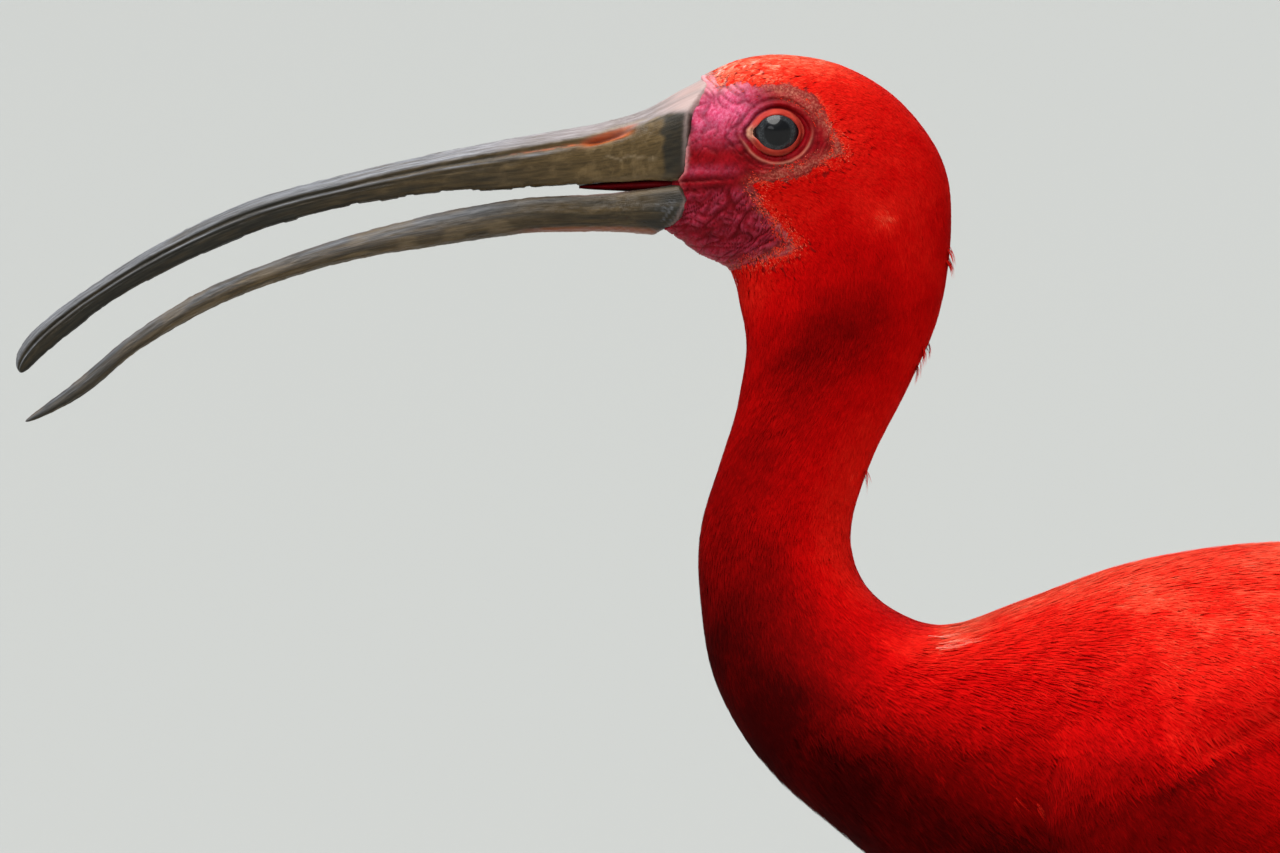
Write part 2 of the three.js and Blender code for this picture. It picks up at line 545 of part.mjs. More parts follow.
function toeTube(side, toe, from, to, grow, rings) {
  const direction = toeDirection(side, toe);
  const across = new THREE.Vector3(-direction.y, direction.x, 0);
  const foot = footPlace(side).setZ(toeHalfHeight - toeSink);
  const place = (distance) => foot.clone().addScaledVector(direction, distance);
  const sizes = (share) => {
    const distance = mix(from, to, share);
    const taper = mix(1, 0.72, Math.max(0, distance / toe.length));
    const pad = 0.3 * Math.cos((2 * Math.PI * toe.joints * (distance - toe.start)) / (toe.length - toe.start));
    return [toeHalfWidth * taper + pad * 0.6 + grow, toeHalfHeight * mix(1, 0.86, share) + grow];
  };
  return limb([place(from), place(to)], sizes, rings, 8, across);
}

const onFloor = (body) => keepPast(body, new THREE.Vector3(0, 0, 0), upward);

function toeSolid(side, toe) {
  return onFloor(toeTube(side, toe, toe.start + gap, toe.length, 0, toe.joints * 2));
}

function claw(side, toe) {
  const direction = toeDirection(side, toe);
  const foot = footPlace(side);
  const place = (distance, z) => foot.clone().addScaledVector(direction, toe.length + distance).setZ(z);
  const points = [place(gap, 2.5), place(clawLength * 0.5, 2.6), place(clawLength, 0.9)];
  const across = new THREE.Vector3(-direction.y, direction.x, 0);
  return limb(points, (share) => [mix(1.5, 0.3, share), mix(1.7, 0.35, share)], 3, 5, across);
}

// The middle of the foot: pad, the roots of the toes and the small webs between the front toes.
function palm(side) {
  const foot = footPlace(side);
  const ankle = foot.clone().setZ(footTop + 2);
  const pad = limb([foot.clone().setZ(-1), ankle], (share) => [mix(6, 3, share), mix(6.5, 3.4, share)], 2, 8);
  const roots = Object.values(toes).map((toe) => toeTube(side, toe, 0, toe.start, 0, 2));
  const reach = (toe, distance) => foot.clone().addScaledVector(toeDirection(side, toe), distance);
  const web = (a, b) => {
    const outline = [reach(a, 2), reach(a, 21), reach(a, 16).lerp(reach(b, 16), 0.5), reach(b, 21), reach(b, 2)];
    const at = (z) => outline.map((p) => p.clone().setZ(z));
    return ringSolid([at(1.6), at(2.7)]);
  };
  const whole = join([pad, ...roots, web(toes.inner, toes.middle), web(toes.middle, toes.outer)]);
  const clear = Object.values(toes).map((toe) => toeTube(side, toe, toe.start, toe.length, gap + 0.2, 1));
  const cut = clear.reduce((body, toe) => body.subtract(toe), whole);
  return onFloor(keepPast(cut, new THREE.Vector3(0, 0, footTop - gap / 2), downward));
}

addNode('head', head(), plumage);
addNode('bill_upper', upperBill(), billHorn);
addNode('bill_lower', lowerBill(), billHorn);
const neckUpper = loft(bodyStations, cuts.headNeck - 0.5, cuts.neckMiddle + 0.5, 6, 18);
addNode('neck_upper', cutBefore(cutAfter(neckUpper, bodyStations, cuts.headNeck), bodyStations, cuts.neckMiddle), plumage);
const neckLower = loft(bodyStations, cuts.neckMiddle - 0.5, cuts.neckTorso + 0.5, 8, 18);
addNode('neck_lower', cutBefore(cutAfter(neckLower, bodyStations, cuts.neckMiddle), bodyStations, cuts.neckTorso), plumage);
addNode('torso', cutAfter(torsoBody(0), bodyStations, cuts.neckTorso), plumage);
addNode('tail', tailNode(), flightPlumage);

for (const [word, side] of Object.entries(sides)) {
  addNode(`eye_${word}`, eyeSolid(side), eyeball);
  addNode(`wing_${word}`, wing(side), flightPlumage);
  addNode(`thigh_${word}`, thigh(side), plumage);
  addNode(`shank_${word}`, shank(side), bareSkin);
  addNode(`tarsus_${word}`, tarsus(side), bareSkin);
  addNode(`foot_${word}`, palm(side), bareSkin);
  for (const [toeName, toe] of Object.entries(toes)) {
    addNode(`toe_${toeName}_${word}`, toeSolid(side, toe), bareSkin);
    addNode(`claw_${toeName}_${word}`, claw(side, toe), clawHorn);
  }
}

export default bird;
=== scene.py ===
import math
import bpy
import numpy as np
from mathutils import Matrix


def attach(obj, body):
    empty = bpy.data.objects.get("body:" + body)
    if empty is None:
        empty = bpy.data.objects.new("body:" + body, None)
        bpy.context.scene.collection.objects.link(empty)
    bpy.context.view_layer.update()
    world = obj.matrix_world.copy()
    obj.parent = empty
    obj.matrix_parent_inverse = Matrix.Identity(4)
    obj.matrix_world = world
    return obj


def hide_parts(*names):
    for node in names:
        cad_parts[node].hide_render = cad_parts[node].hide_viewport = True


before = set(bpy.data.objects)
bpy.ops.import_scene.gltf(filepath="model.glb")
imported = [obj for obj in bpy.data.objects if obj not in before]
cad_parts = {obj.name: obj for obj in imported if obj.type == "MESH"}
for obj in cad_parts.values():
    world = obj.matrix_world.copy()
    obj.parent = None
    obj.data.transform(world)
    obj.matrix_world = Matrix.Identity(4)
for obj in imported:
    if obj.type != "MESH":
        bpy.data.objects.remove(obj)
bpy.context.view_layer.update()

# A scarlet ibis standing in soft light. Shapes are worked out in millimetres and written in metres.
# The body is a loft: a station gives the upper and lower edge of the side outline and a half width,
# and an angle goes round the section from the upper edge (0) over the side to the lower edge (pi).

dice = np.random.default_rng(11)
pi = math.pi
sides = {"left": -1.0, "right": 1.0}
metresPerMm = 0.001
sectionPower = 0.88  # below 1 a section is a little fuller than an ellipse

# columns: upper x, upper z, lower x, lower z, half width, top heaviness
bodyStations = np.array([
    [-96.5, 375, -102.5, 340.5, 9.3, -0.05],  # bill base
    [-88.5, 378.5, -97, 336.5, 12.4, 0],
    [-78.5, 379.5, -91.5, 334, 14.8, 0.05],  # eye
    [-66, 377, -89.5, 330.5, 16, 0.08],
    [-54, 369.5, -88.5, 326, 16.2, 0.08],
    [-45, 357, -87.5, 321.5, 16, 0.04],
    [-43, 343, -87, 317, 15.5, 0],  # nape
    [-45.5, 324, -87.5, 312, 14.8, 0],
    [-52, 308.5, -89.5, 302, 14.2, 0],
    [-60, 292.5, -93, 291, 14, 0],
    [-64.5, 277.5, -97, 277, 14.3, 0],
    [-62, 266.5, -97, 262.5, 16, 0],  # bend of the neck
    [-54, 259.5, -93.5, 244, 20, 0],
    [-43, 257, -82.5, 226, 26, 0],
    [-26, 263, -65.5, 211, 33, 0.03],  # shoulders
    [-2.5, 271, -44.5, 195, 40, 0.06],
    [27.5, 275, -15.5, 177, 45, 0.08],
    [60, 273, 21.5, 164, 46.5, 0.08],  # deepest belly
    [92, 266, 60, 159.5, 45, 0.08],
    [122.5, 252.5, 96.5, 166, 39, 0.06],
    [148, 236, 130, 179.5, 29, 0.03],
    [168.5, 220.5, 156.5, 192.5, 17, 0],  # rump
])
# the folded wing lies on the torso and is carried on over the tail
wingStations = np.vstack([bodyStations[:21], [
    [172, 221, 158, 187, 27, 0],
    [194.5, 209.5, 185, 184, 20.5, 0],
    [217, 197, 209.5, 179.5, 14, 0],
    [244, 184, 239, 173, 8, 0],
]])
upperBillStations = np.array([
    [-90, 376.8, -96, 353.4, 9.2, 0],
    [-106.5, 368.5, -109, 352.5, 7.6, 0],
    [-117.5, 365, -119, 352, 6.2, 0],  # nostrils
    [-135, 362, -135.5, 351, 5, 0],
    [-153, 358.5, -152.5, 350, 4.3, 0],
    [-172.5, 354, -170.5, 347.5, 3.8, 0],
    [-194, 348, -190, 342.5, 3.4, 0],
    [-213, 339, -209, 334.5, 3.1, 0],
    [-229, 329, -225, 325.5, 2.8, 0],
    [-240.5, 320, -236.5, 316.5, 2.5, 0],
    [-245, 313, -242.5, 310.5, 1.5, 0],
])
lowerBillStations = np.array([
    [-91, 352.7, -93, 338.8, 8.8, 0],
    [-109, 350.5, -109.5, 341, 7, 0],
    [-118.5, 349.5, -119, 341.5, 5.8, 0],
    [-135.5, 348.5, -135.5, 341, 4.6, 0],
    [-153, 345.5, -152.5, 338.5, 3.9, 0],
    [-172.5, 340.5, -171, 335.5, 3.4, 0],
    [-191.5, 334, -190, 330, 3, 0],
    [-205.5, 328, -204, 324, 2.7, 0],
    [-219.5, 319, -217.5, 316, 2.4, 0],
    [-231.5, 309, -229.5, 306.5, 2, 0],
    [-242.5, 301, -241, 300, 1, 0],
])


def through(table, t):
    # Catmull-Rom through the rows of a table
    last = len(table) - 1
    i = np.clip(np.floor(t).astype(int), 0, last - 1)
    f = (t - i)[..., None]
    p, q, r, s = (table[np.clip(i + k, 0, last)] for k in (-1, 0, 1, 2))
    bend = (2 * p - 5 * q + 4 * r - s) * f ** 2 + (3 * q - p - 3 * r + s) * f ** 3
    return q + 0.5 * ((r - p) * f + bend)


def section(table, t):
    # middle of the section at t, the vector from its lower to its upper edge, half width, top heaviness
    row = through(table, np.asarray(t, float))
    upper, lower = row[..., 0:2], row[..., 2:4]
    return 0.5 * (upper + lower), upper - lower, row[..., 4], row[..., 5]


def sideways(angle):
    # sin(angle)^0.88 with the sign of the sine
    sine = np.sin(angle)
    return np.sign(sine) * np.abs(sine) ** sectionPower


def loftPoint(table, t, angle, grow=0.0):
    # middle + up (half height + grow) cos(angle), and y = -(half width + grow) sin(angle)^0.88
    t, angle = np.broadcast_arrays(np.asarray(t, float), np.asarray(angle, float))
    middle, up, half, heavy = section(table, t)
    height = np.linalg.norm(up, axis=-1)
    cosine = np.cos(angle)
    flat = middle + up / height[..., None] * ((height / 2 + grow) * cosine)[..., None]
    return np.stack([flat[..., 0], -(half + grow) * sideways(angle) * (1 + heavy * cosine), flat[..., 1]], -1)


def onBody(t, angle, height):
    # the place on the body's chart, height mm above the loft
    return loftPoint(bodyStations, t, angle, height)


def ease(low, high, value):
    # 0 below low, 1 above high, 3s^2 - 2s^3 between
    s = np.clip((value - low) / (high - low), 0, 1)
    return s * s * (3 - 2 * s)


def span(value, low, full, fall, end):
    # eases in from low to full and out from fall to end
    return ease(low, full, value) * ease(end, fall, value)


def hill(value, middle, width):
    # e^-((value - middle) / width)^2
    return np.exp(-((value - middle) / width) ** 2)


def unit(vectors):
    # v / |v|
    return vectors / np.linalg.norm(vectors, axis=-1, keepdims=True)


def fromTop(angle):
    # angle from the upper edge, the same on both sides
    return np.minimum(angle, 2 * pi - angle)


def between(ends, share):
    # (1 - share) of the first end and share of the second
    return ends[0] + (ends[1] - ends[0]) * share


def stackUp(*parts):
    # arrays or numbers of any fitting shapes as one array of points or uv pairs
    return np.stack(np.broadcast_arrays(*parts), -1)


def ringGrid(rows, cols):
    # every row value with cols angles once round
    return np.meshgrid(rows, np.linspace(0, 2 * pi, cols, endpoint=False), indexing="ij")


def bell(*shape):
    # random numbers about 0 with a spread of 1
    return dice.standard_normal(shape)


def grain(x, y, seed=0):
    # smooth noise from -1 to 1: random values on a unit lattice, blended with 3f^2 - 2f^3
    i = np.floor(x).astype(np.int64)
    j = np.floor(y).astype(np.int64)
    fx = x - i
    fy = y - j
    fx = fx * fx * (3 - 2 * fx)
    fy = fy * fy * (3 - 2 * fy)

    def corner(a, b):
        h = (a * 374761393 + b * 668265263 + seed * 1442695041) & 0xFFFFFFFF
        h = ((h ^ (h >> 13)) * 1274126177) & 0xFFFFFFFF
        return ((h ^ (h >> 16)) & 0xFFFF) / 32767.5 - 1

    low = corner(i, j) * (1 - fx) + corner(i + 1, j) * fx
    high = corner(i, j + 1) * (1 - fx) + corner(i + 1, j + 1) * fx
    return low * (1 - fy) + high * fy


def creases(x, z, turn, long, wide, seed):
    # thin grooves where stretched noise crosses zero, running at an angle of turn in the side view
    c = math.cos(turn)
    s = math.sin(turn)
    return hill(grain((x * c + z * s) / long, (z * c - x * s) / wide, seed), 0, 0.16)


def tangents(place, t, angle):
    # the surface's point and its change for one station and for one radian, from steps of 0.01
    step = 0.01
    here = place(t, angle, 0.0)
    return here, (place(t + step, angle, 0.0) - here) / step, (place(t, angle + step, 0.0) - here) / step


def gridFaces(rows, cols):
    # quads of a grid that is closed round its columns
    i, j = np.meshgrid(np.arange(rows - 1), np.arange(cols), indexing="ij")
    a = i * cols + j
    b = i * cols + (j + 1) % cols
    return np.stack([a, b, b + cols, a + cols], -1).reshape(-1, 4)


def gridUv(uv):
    # uv has one column more than the grid, so that nothing wraps back
    return np.stack([uv[:-1, :-1], uv[:-1, 1:], uv[1:, 1:], uv[1:, :-1]], 2).reshape(-1, 4, 2)


def ringCaps(rows, cols):
    # fans of triangles that close the first and the last ring
    j = np.arange(1, cols - 1)
    base = (rows - 1) * cols
    return np.vstack([np.stack([0 * j, j + 1, j], -1), np.stack([0 * j, j, j + 1], -1) + base])


def tubeFaces(points):
    # quads and caps of a closed tube and the order of their corners: -1 turns them round where the
    # volume, the sum of a . (b x c) over the triangles, comes out negative
    rows, cols = points.shape[:2]
    faces = [gridFaces(rows, cols), ringCaps(rows, cols)]
    flat = points.reshape(-1, 3)
    volume = 0.0
    for f in faces:
        for k in range(1, f.shape[1] - 1):
            volume += np.einsum("ij,ij->", flat[f[:, 0]], np.cross(flat[f[:, k]], flat[f[:, k + 1]]))
    order = 1 if volume > 0 else -1
    return [f[:, ::order] for f in faces], order


def normalsOf(points):
    # unit normals of a grid that is closed round its columns, from its two tangents
    across = np.roll(points, -1, axis=1) - np.roll(points, 1, axis=1)
    normal = np.cross(across, np.gradient(points, axis=0))
    return normal / np.maximum(np.linalg.norm(normal, axis=-1, keepdims=True), 1e-9)


def addObject(name, data):
    # an unturned object at the origin
    thing = bpy.data.objects.new(name, data)
    bpy.context.scene.collection.objects.link(thing)
    return thing


def addPiece(name, points, faces, look, marks=None, uvs=None, nodes=()):
    # points and marks lie on one grid; faces and uvs have one array for each number of corners
    mesh = bpy.data.meshes.new(name)
    grid = points.shape[:-1]
    mesh.vertices.add(math.prod(grid))
    mesh.vertices.foreach_set("co", (points * metresPerMm).astype(np.float32).ravel())
    corners = np.concatenate([f.ravel() for f in faces])
    sizes = np.concatenate([np.full(len(f), f.shape[1]) for f in faces])
    starts = np.concatenate([[0], np.cumsum(sizes)[:-1]])
    mesh.loops.add(len(corners))
    mesh.loops.foreach_set("vertex_index", corners.astype(np.int32))
    mesh.polygons.add(len(sizes))
    mesh.polygons.foreach_set("loop_start", starts.astype(np.int32))
    mesh.polygons.foreach_set("use_smooth", np.full(len(sizes), True))
    mesh.update(calc_edges=True)
    for key, values in (marks or {}).items():
        layer = mesh.attributes.new(key, "FLOAT", "POINT")
        layer.data.foreach_set("value", np.broadcast_to(values, grid).astype(np.float32).ravel())
    for key, values in (uvs or {}).items():
        layer = mesh.uv_layers.new(name=key)
        flat = np.concatenate([v.reshape(-1, 2) for v in values])
        layer.data.foreach_set("uv", flat.astype(np.float32).ravel())
    piece = addObject(name, mesh)
    mesh.materials.append(look)
    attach(piece, "root")
    if nodes:
        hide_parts(*nodes)
    print("piece", name, math.prod(grid), "points", int((sizes - 2).sum()), "triangles")


def addTube(name, points, look, marks=None, uv=None, nodes=()):
    # points is rows x columns x 3, closed round the columns and capped at both ends
    faces, order = tubeFaces(points)
    uvs = None
    if uv is not None:
        uvs = {"follow": [gridUv(uv)[:, ::order], np.zeros((len(faces[1]), 3, 2))]}
    addPiece(name, points, faces, look, marks, uvs, nodes)


class Look:
    # a material being built: each call adds a node, sets or links its inputs and returns its output
    def __init__(self, name, roughness, specular):
        self.material = bpy.data.materials.new(name)
        self.material.use_nodes = True
        self.tree = self.material.node_tree
        self.shader = self.tree.nodes["Principled BSDF"]
        self.wire(self.shader, {"Roughness": roughness, "Specular IOR Level": specular})
        self.place = self.node("TexCoord", "Object")

    def wire(self, node, inputs):
        for key, value in inputs.items():
            socket = node.inputs[key]
            if isinstance(value, bpy.types.NodeSocket):
                self.tree.links.new(value, socket)
            else:
                socket.default_value = (*value, 1) if socket.type == "RGBA" else value

    def node(self, kind, output, inputs=None, **settings):
        node = self.tree.nodes.new("ShaderNode" + kind)
        for key, value in settings.items():
            setattr(node, key, value)
        self.wire(node, inputs or {})
        return node.outputs[output]

    def mark(self, name):
        return self.node("Attribute", "Fac", attribute_name=name)

    def uv(self, name):
        return self.node("UVMap", "UV", uv_map=name)

    def stretch(self, vector, scale):
        return self.node("Mapping", "Vector", {"Vector": vector, "Scale": scale})

    def noise(self, vector, scale, detail=3.0, rough=0.55):
        inputs = {"Vector": vector, "Scale": scale, "Detail": detail, "Roughness": rough}
        return self.node("TexNoise", "Fac", inputs)

    def cells(self, vector, scale):
        return self.node("TexVoronoi", "Distance", {"Vector": vector, "Scale": scale})

    def math(self, kind, a, b=0.0):
        return self.node("Math", 0, {0: a, 1: b}, operation=kind)

    def range(self, value, fromLow, fromHigh, toLow=0.0, toHigh=1.0):
        limits = {"From Min": fromLow, "From Max": fromHigh, "To Min": toLow, "To Max": toHigh}
        return self.node("MapRange", "Result", {"Value": value, **limits})

    def mix(self, share, a, b):
        # inputs 6 and 7 and output 2 are the colour sockets of this node
        return self.node("Mix", 2, {"Factor": share, 6: a, 7: b}, data_type="RGBA")

    def layers(self, base, **colors):
        # each mark lays its colour over the ones before it
        for name, color in colors.items():
            base = self.mix(self.mark(name), base, color)
        return base

    def ramp(self, value, stops):
        node = self.tree.nodes.new("ShaderNodeValToRGB")
        self.wire(node, {"Fac": value})
        elements = node.color_ramp.elements
        while len(elements) < len(stops):
            elements.new(0.5)
        for element, (position, color) in zip(elements, stops):
            element.position = position
            element.color = (*color, 1)
        return node.outputs["Color"]

    def color(self, value):
        self.wire(self.shader, {"Base Color": value})

    def bump(self, height, distance, strength, before=None):
        inputs = {"Height": height, "Distance": distance, "Strength": strength}
        if before is not None:
            inputs["Normal"] = before
        normal = self.node("Bump", "Normal", inputs)
        self.wire(self.shader, {"Normal": normal})
        return normal


# Camera at the photograph's place: level with the neck, looking at the left side.
shot = {"middle": (-0.1099, 0.2996), "distance": 2.0, "frameWidth": 0.2752, "sensor": 36, "reach": 100}
cameraData = bpy.data.cameras.new("camera")
cameraData.sensor_width = shot["sensor"]
cameraData.lens = shot["sensor"] * shot["distance"] / shot["frameWidth"]
cameraData.clip_end = shot["reach"]
camera = addObject("camera", cameraData)
camera.location = (shot["middle"][0], -shot["distance"], shot["middle"][1])
camera.rotation_euler = (pi / 2, 0, 0)
bpy.context.scene.camera = camera
bpy.context.scene.view_settings.view_transform = "Standard"
bpy.context.scene.view_settings.look = "None"

# The colour of the plumage runs from maroon to pale orange with one mark, the tone; the maroon end serves as
# painted shade, the pale end as painted highlight and for pale feathers.
plumageStops = [
    (0.0, (0.05, 0.0004, 0.0004)),
    (0.25, (0.22, 0.0006, 0.0006)),
    (0.5, (0.60, 0.0016, 0.0016)),
    (0.68, (0.84, 0.016, 0.008)),
    (0.8, (0.92, 0.095, 0.045)),
    (0.9, (0.94, 0.30, 0.19)),
    (1.0, (0.92, 0.62, 0.56)),
]
# Pairs are the darker and the lighter end of a mottled colour.
skinColors = {
    "crimson": ((0.15, 0.0006, 0.002), (0.34, 0.003, 0.009)),
    # rose and blush are the skin's own colours and painted highlight on the upper front, the forehead's top
    # and the jaw's ridges
    "rose": ((0.70, 0.05, 0.15), (0.90, 0.20, 0.36)),
    "blush": ((0.74, 0.28, 0.33), (0.84, 0.52, 0.53)),
    "cream": ((0.60, 0.20, 0.12), (0.78, 0.44, 0.30)),
    "lid": ((0.50, 0.028, 0.016), (0.72, 0.10, 0.06)),
    # fold is painted shade in the creases, the gape and the mouth
    "fold": (0.07, 0.0004, 0.002),
    "pale": (0.78, 0.26, 0.17),
    "under": (0.40, 0.004, 0.003),
}
hornColors = {
    "brown": ((0.062, 0.038, 0.012), (0.15, 0.093, 0.034)),
    "tan": (0.23, 0.15, 0.065),
    "dark": ((0.011, 0.009, 0.006), (0.033, 0.029, 0.020)),
    # the ridge colour: painted sky reflection on the culmen and ridges, and worn bluish scratches on the
    # lower bill
    "ridge": ((0.13, 0.14, 0.16), (0.42, 0.43, 0.47)),
    "orange": ((0.42, 0.06, 0.012), (0.66, 0.17, 0.04)),
    # rim: the pale edge where the skin meets the horn, and painted highlight along the culmen and the lower
    # bill's inner rim
    "rim": ((0.42, 0.27, 0.24), (0.66, 0.50, 0.48)),
    "line": (0.33, 0.235, 0.13),
    # pit: painted shade in the nostril, under the palate and in the lower bill's trough
    "pit": (0.018, 0.003, 0.002),
}
legColors = {"skin": ((0.36, 0.035, 0.05), (0.58, 0.11, 0.12)), "seam": (0.16, 0.015, 0.02)}
eyeColors = {
    "pupil": (0.002, 0.002, 0.003),
    "iris": ((0.005, 0.006, 0.007), (0.032, 0.035, 0.04)),
    "rays": (0.08, 0.085, 0.09),
    "edge": (0.004, 0.004, 0.005),
}


def plumageLook():
    # follow: u across a feather and v along it in cm; strands finer than the blades run along v
    look = Look("plumage", 0.8, 0.02)
    strands = look.noise(look.stretch(look.uv("follow"), (42, 1.3, 1)), 3.2, 2, 0.6)
    tone = look.math("ADD", look.mark("tone"), look.range(strands, 0.3, 0.7, -0.055, 0.055))
    tone = look.math("ADD", tone, look.range(look.noise(look.place, 160, 2), 0.3, 0.7, -0.03, 0.03))
    look.color(look.ramp(tone, plumageStops))
    look.bump(strands, 0.00002, 0.4)
    return look.material


def vaneLook():
    # u runs across a vane from -1 to 1 and v along it in cm; the barbs are sin(110 (v - |u| / 2))
    look = Look("vanes", 0.62, 0.05)
    follow = look.uv("follow")
    u = look.node("SeparateXYZ", "X", {0: follow})
    slant = look.math("MULTIPLY", look.math("ABSOLUTE", u), 0.5)
    line = look.math("SUBTRACT", u.node.outputs["Y"], slant)
    barbs = look.math("SINE", look.math("MULTIPLY", line, 110.0))
    wander = look.range(look.noise(look.stretch(follow, (3.5, 0.8, 1)), 2.2, 4, 0.65), 0.3, 0.7, -0.09, 0.09)
    tone = look.math("ADD", look.mark("tone"), wander)
    tone = look.math("ADD", tone, look.range(barbs, -1, 1, -0.035, 0.035))
    look.color(look.mix(look.mark("black"), look.ramp(tone, plumageStops), (0.012, 0.012, 0.016)))
    look.bump(barbs, 0.00006, 0.5)
    return look.material


def skinLook():
    # mottled crimson, with the colour of each mark laid over it and pores and fine lines as bumps
    look = Look("bare skin", 0.45, 0.06)
    colors = skinColors
    mottle = look.noise(look.place, 330, 4, 0.6)
    fine = look.noise(look.place, 1500, 3, 0.6)
    base = look.mix(look.range(mottle, 0.3, 0.7), *colors["crimson"])
    base = look.layers(base, rose=look.mix(look.range(fine, 0.35, 0.65), *colors["rose"]),
                       blush=look.mix(fine, *colors["blush"]), fold=colors["fold"])
    dots = look.range(look.noise(look.place, 2100, 2, 0.6), 0.45, 0.65, 0.14, 0.62)
    base = look.mix(look.math("MULTIPLY", look.mark("pale"), dots), base, colors["pale"])
    look.color(look.layers(base, cream=look.mix(fine, *colors["cream"]), lid=look.mix(mottle, *colors["lid"]),
                           under=colors["under"]))
    look.wire(look.shader, {"Subsurface Weight": 0.06, "Subsurface Radius": (0.002, 0.0005, 0.0004)})
    pores = look.bump(look.cells(look.place, 1900), 0.00008, 0.45)
    look.bump(look.noise(look.place, 900, 4), 0.00010, 0.6, pores)
    return look.material


def hornLook():
    # follow: u along the bill in cm, v round it from 0 to 1; noise drawn out along u gives the fibres
    look = Look("bill horn", 0.3, 0.24)
    colors = hornColors
    follow = look.uv("follow")
    streak = look.noise(look.stretch(follow, (0.8, 34, 1)), 2.4, 4, 0.62)
    cloud = look.noise(look.stretch(follow, (1.6, 9, 1)), 1.8, 4, 0.6)
    brown = look.mix(look.range(streak, 0.3, 0.7), *colors["brown"])
    brown = look.mix(look.range(cloud, 0.5, 0.8), brown, colors["tan"])
    look.color(look.layers(brown, dark=look.mix(look.range(streak, 0.3, 0.7), *colors["dark"]),
                           ridge=look.mix(look.range(streak, 0.3, 0.66), *colors["ridge"]),
                           orange=look.mix(cloud, *colors["orange"]), rim=look.mix(streak, *colors["rim"]),
                           line=colors["line"], pit=colors["pit"]))
    look.wire(look.shader, {"Roughness": look.range(cloud, 0.3, 0.7, 0.26, 0.46)})
    lines = look.bump(look.noise(look.stretch(follow, (1.1, 70, 1)), 3, 4, 0.6), 0.00014, 0.6)
    look.bump(look.noise(look.place, 1300, 3), 0.00006, 0.4, lines)
    return look.material


def legLook():
    # clouded pink skin with darker seams between the plates and small scales as bumps
    look = Look("leg skin", 0.48, 0.4)
    base = look.mix(look.range(look.noise(look.place, 120, 4), 0.3, 0.7), *legColors["skin"])
    look.color(look.layers(base, seam=legColors["seam"]))
    look.bump(look.cells(look.place, 900), 0.00015, 0.5)
    return look.material


def clawLook():
    # near black horn, streaked along the height
    look = Look("claw horn", 0.32, 0.5)
    streak = look.noise(look.stretch(look.place, (40, 40, 300)), 6, 3)
    look.color(look.mix(streak, (0.02, 0.015, 0.012), (0.09, 0.065, 0.05)))
    look.bump(streak, 0.0001, 0.4)
    return look.material


def eyeLook():
    # the ring mark is the distance from the eye's axis in mm: pupil, iris, dark edge
    look = Look("eye", 0.3, 0.1)
    colors = eyeColors
    ring = look.mark("ring")
    mottle = look.noise(look.place, 1100, 4, 0.65)
    rays = look.noise(look.place, 3000, 3, 0.7)
    iris = look.mix(look.range(mottle, 0.36, 0.66), *colors["iris"])
    iris = look.mix(look.range(rays, 0.52, 0.74), iris, colors["rays"])
    edged = look.mix(look.range(ring, 3.9, 4.35), iris, colors["edge"])
    look.color(look.mix(look.range(ring, 2.7, 3.05), colors["pupil"], edged))
    look.wire(look.shader, {"Coat Weight": 0.5, "Coat Roughness": 0.02})
    return look.material


plumage = plumageLook()
vanes = vaneLook()
bareSkin = skinLook()
billHorn = hornLook()
legSkin = legLook()
clawHorn = clawLook()
eyeball = eyeLook()

# The bare face in the side view: its edge, from the forehead round behind the eye to the throat.
face = {
    "edge": np.array([
        [-112, 382], [-94.8, 381], [-93.9, 376.6], [-93.4, 373.2], [-89.9, 373.6], [-82.5, 373.1],
        [-77.2, 371.6], [-73.1, 368.9], [-69.8, 365.3], [-66.9, 360.6], [-65.9, 357.9], [-69.3, 356.3],
        [-74.4, 354.4], [-79.8, 352.6], [-86, 351], [-83.6, 347.4], [-80, 343.4], [-77.2, 339.9],
        [-75.6, 338.3], [-77.6, 336.4], [-83.9, 334.6], [-89.9, 332.8], [-112, 328],
    ]),
    "eye": (-80.6, 362.35),
    "opening": (4.55, 3.85),
    "ballRadius": 5.6,
    "ballY": 11.1,
    "gapeHeight": 352.3,
}
# Rows of the skin: how many there are and the stations that they pass, close together on the face.
skin = {"columns": 264, "rowAt": [0, 190, 236, 299], "station": [0, 3.6, 6.5, 21], "rowsAhead": 34}
bill = {
    "nostril": (-116.9, 361.5),
    "nostrilLength": 5.0,
    "nostrilHeight": 0.75,
    "nostrilSlope": 15.5,
    "upperGrid": (430, 108),
    "lowerGrid": (400, 92),
    "flakeHeight": 357.2,
    # stations, and there the angles in degrees from the top of the side plate's upper edge and of the groove
    "plate": ([0, 0.55, 0.95, 1.45, 1.7, 2.1, 3, 4, 5, 7, 10], [62, 60, 56, 61, 72, 74, 79, 83, 88, 84, 84]),
    "groove": ([1, 2, 4, 5, 7, 10], [54, 63, 73, 79, 75, 75]),
    # where the skin meets the horn in the side view: heights and the x of the edge there
    "edgeZ": [340, 341.8, 342.8, 344.2, 348, 350.2, 352.2, 354.1, 363.9, 367, 370, 372.9, 374.2, 377.5],
    "edgeX": [-108, -105.5, -103, -101.7, -99.8, -100.7, -101.8, -100.3, -99.8, -99.3, -97.3, -95.5,
              -96.5, -97.5],
}


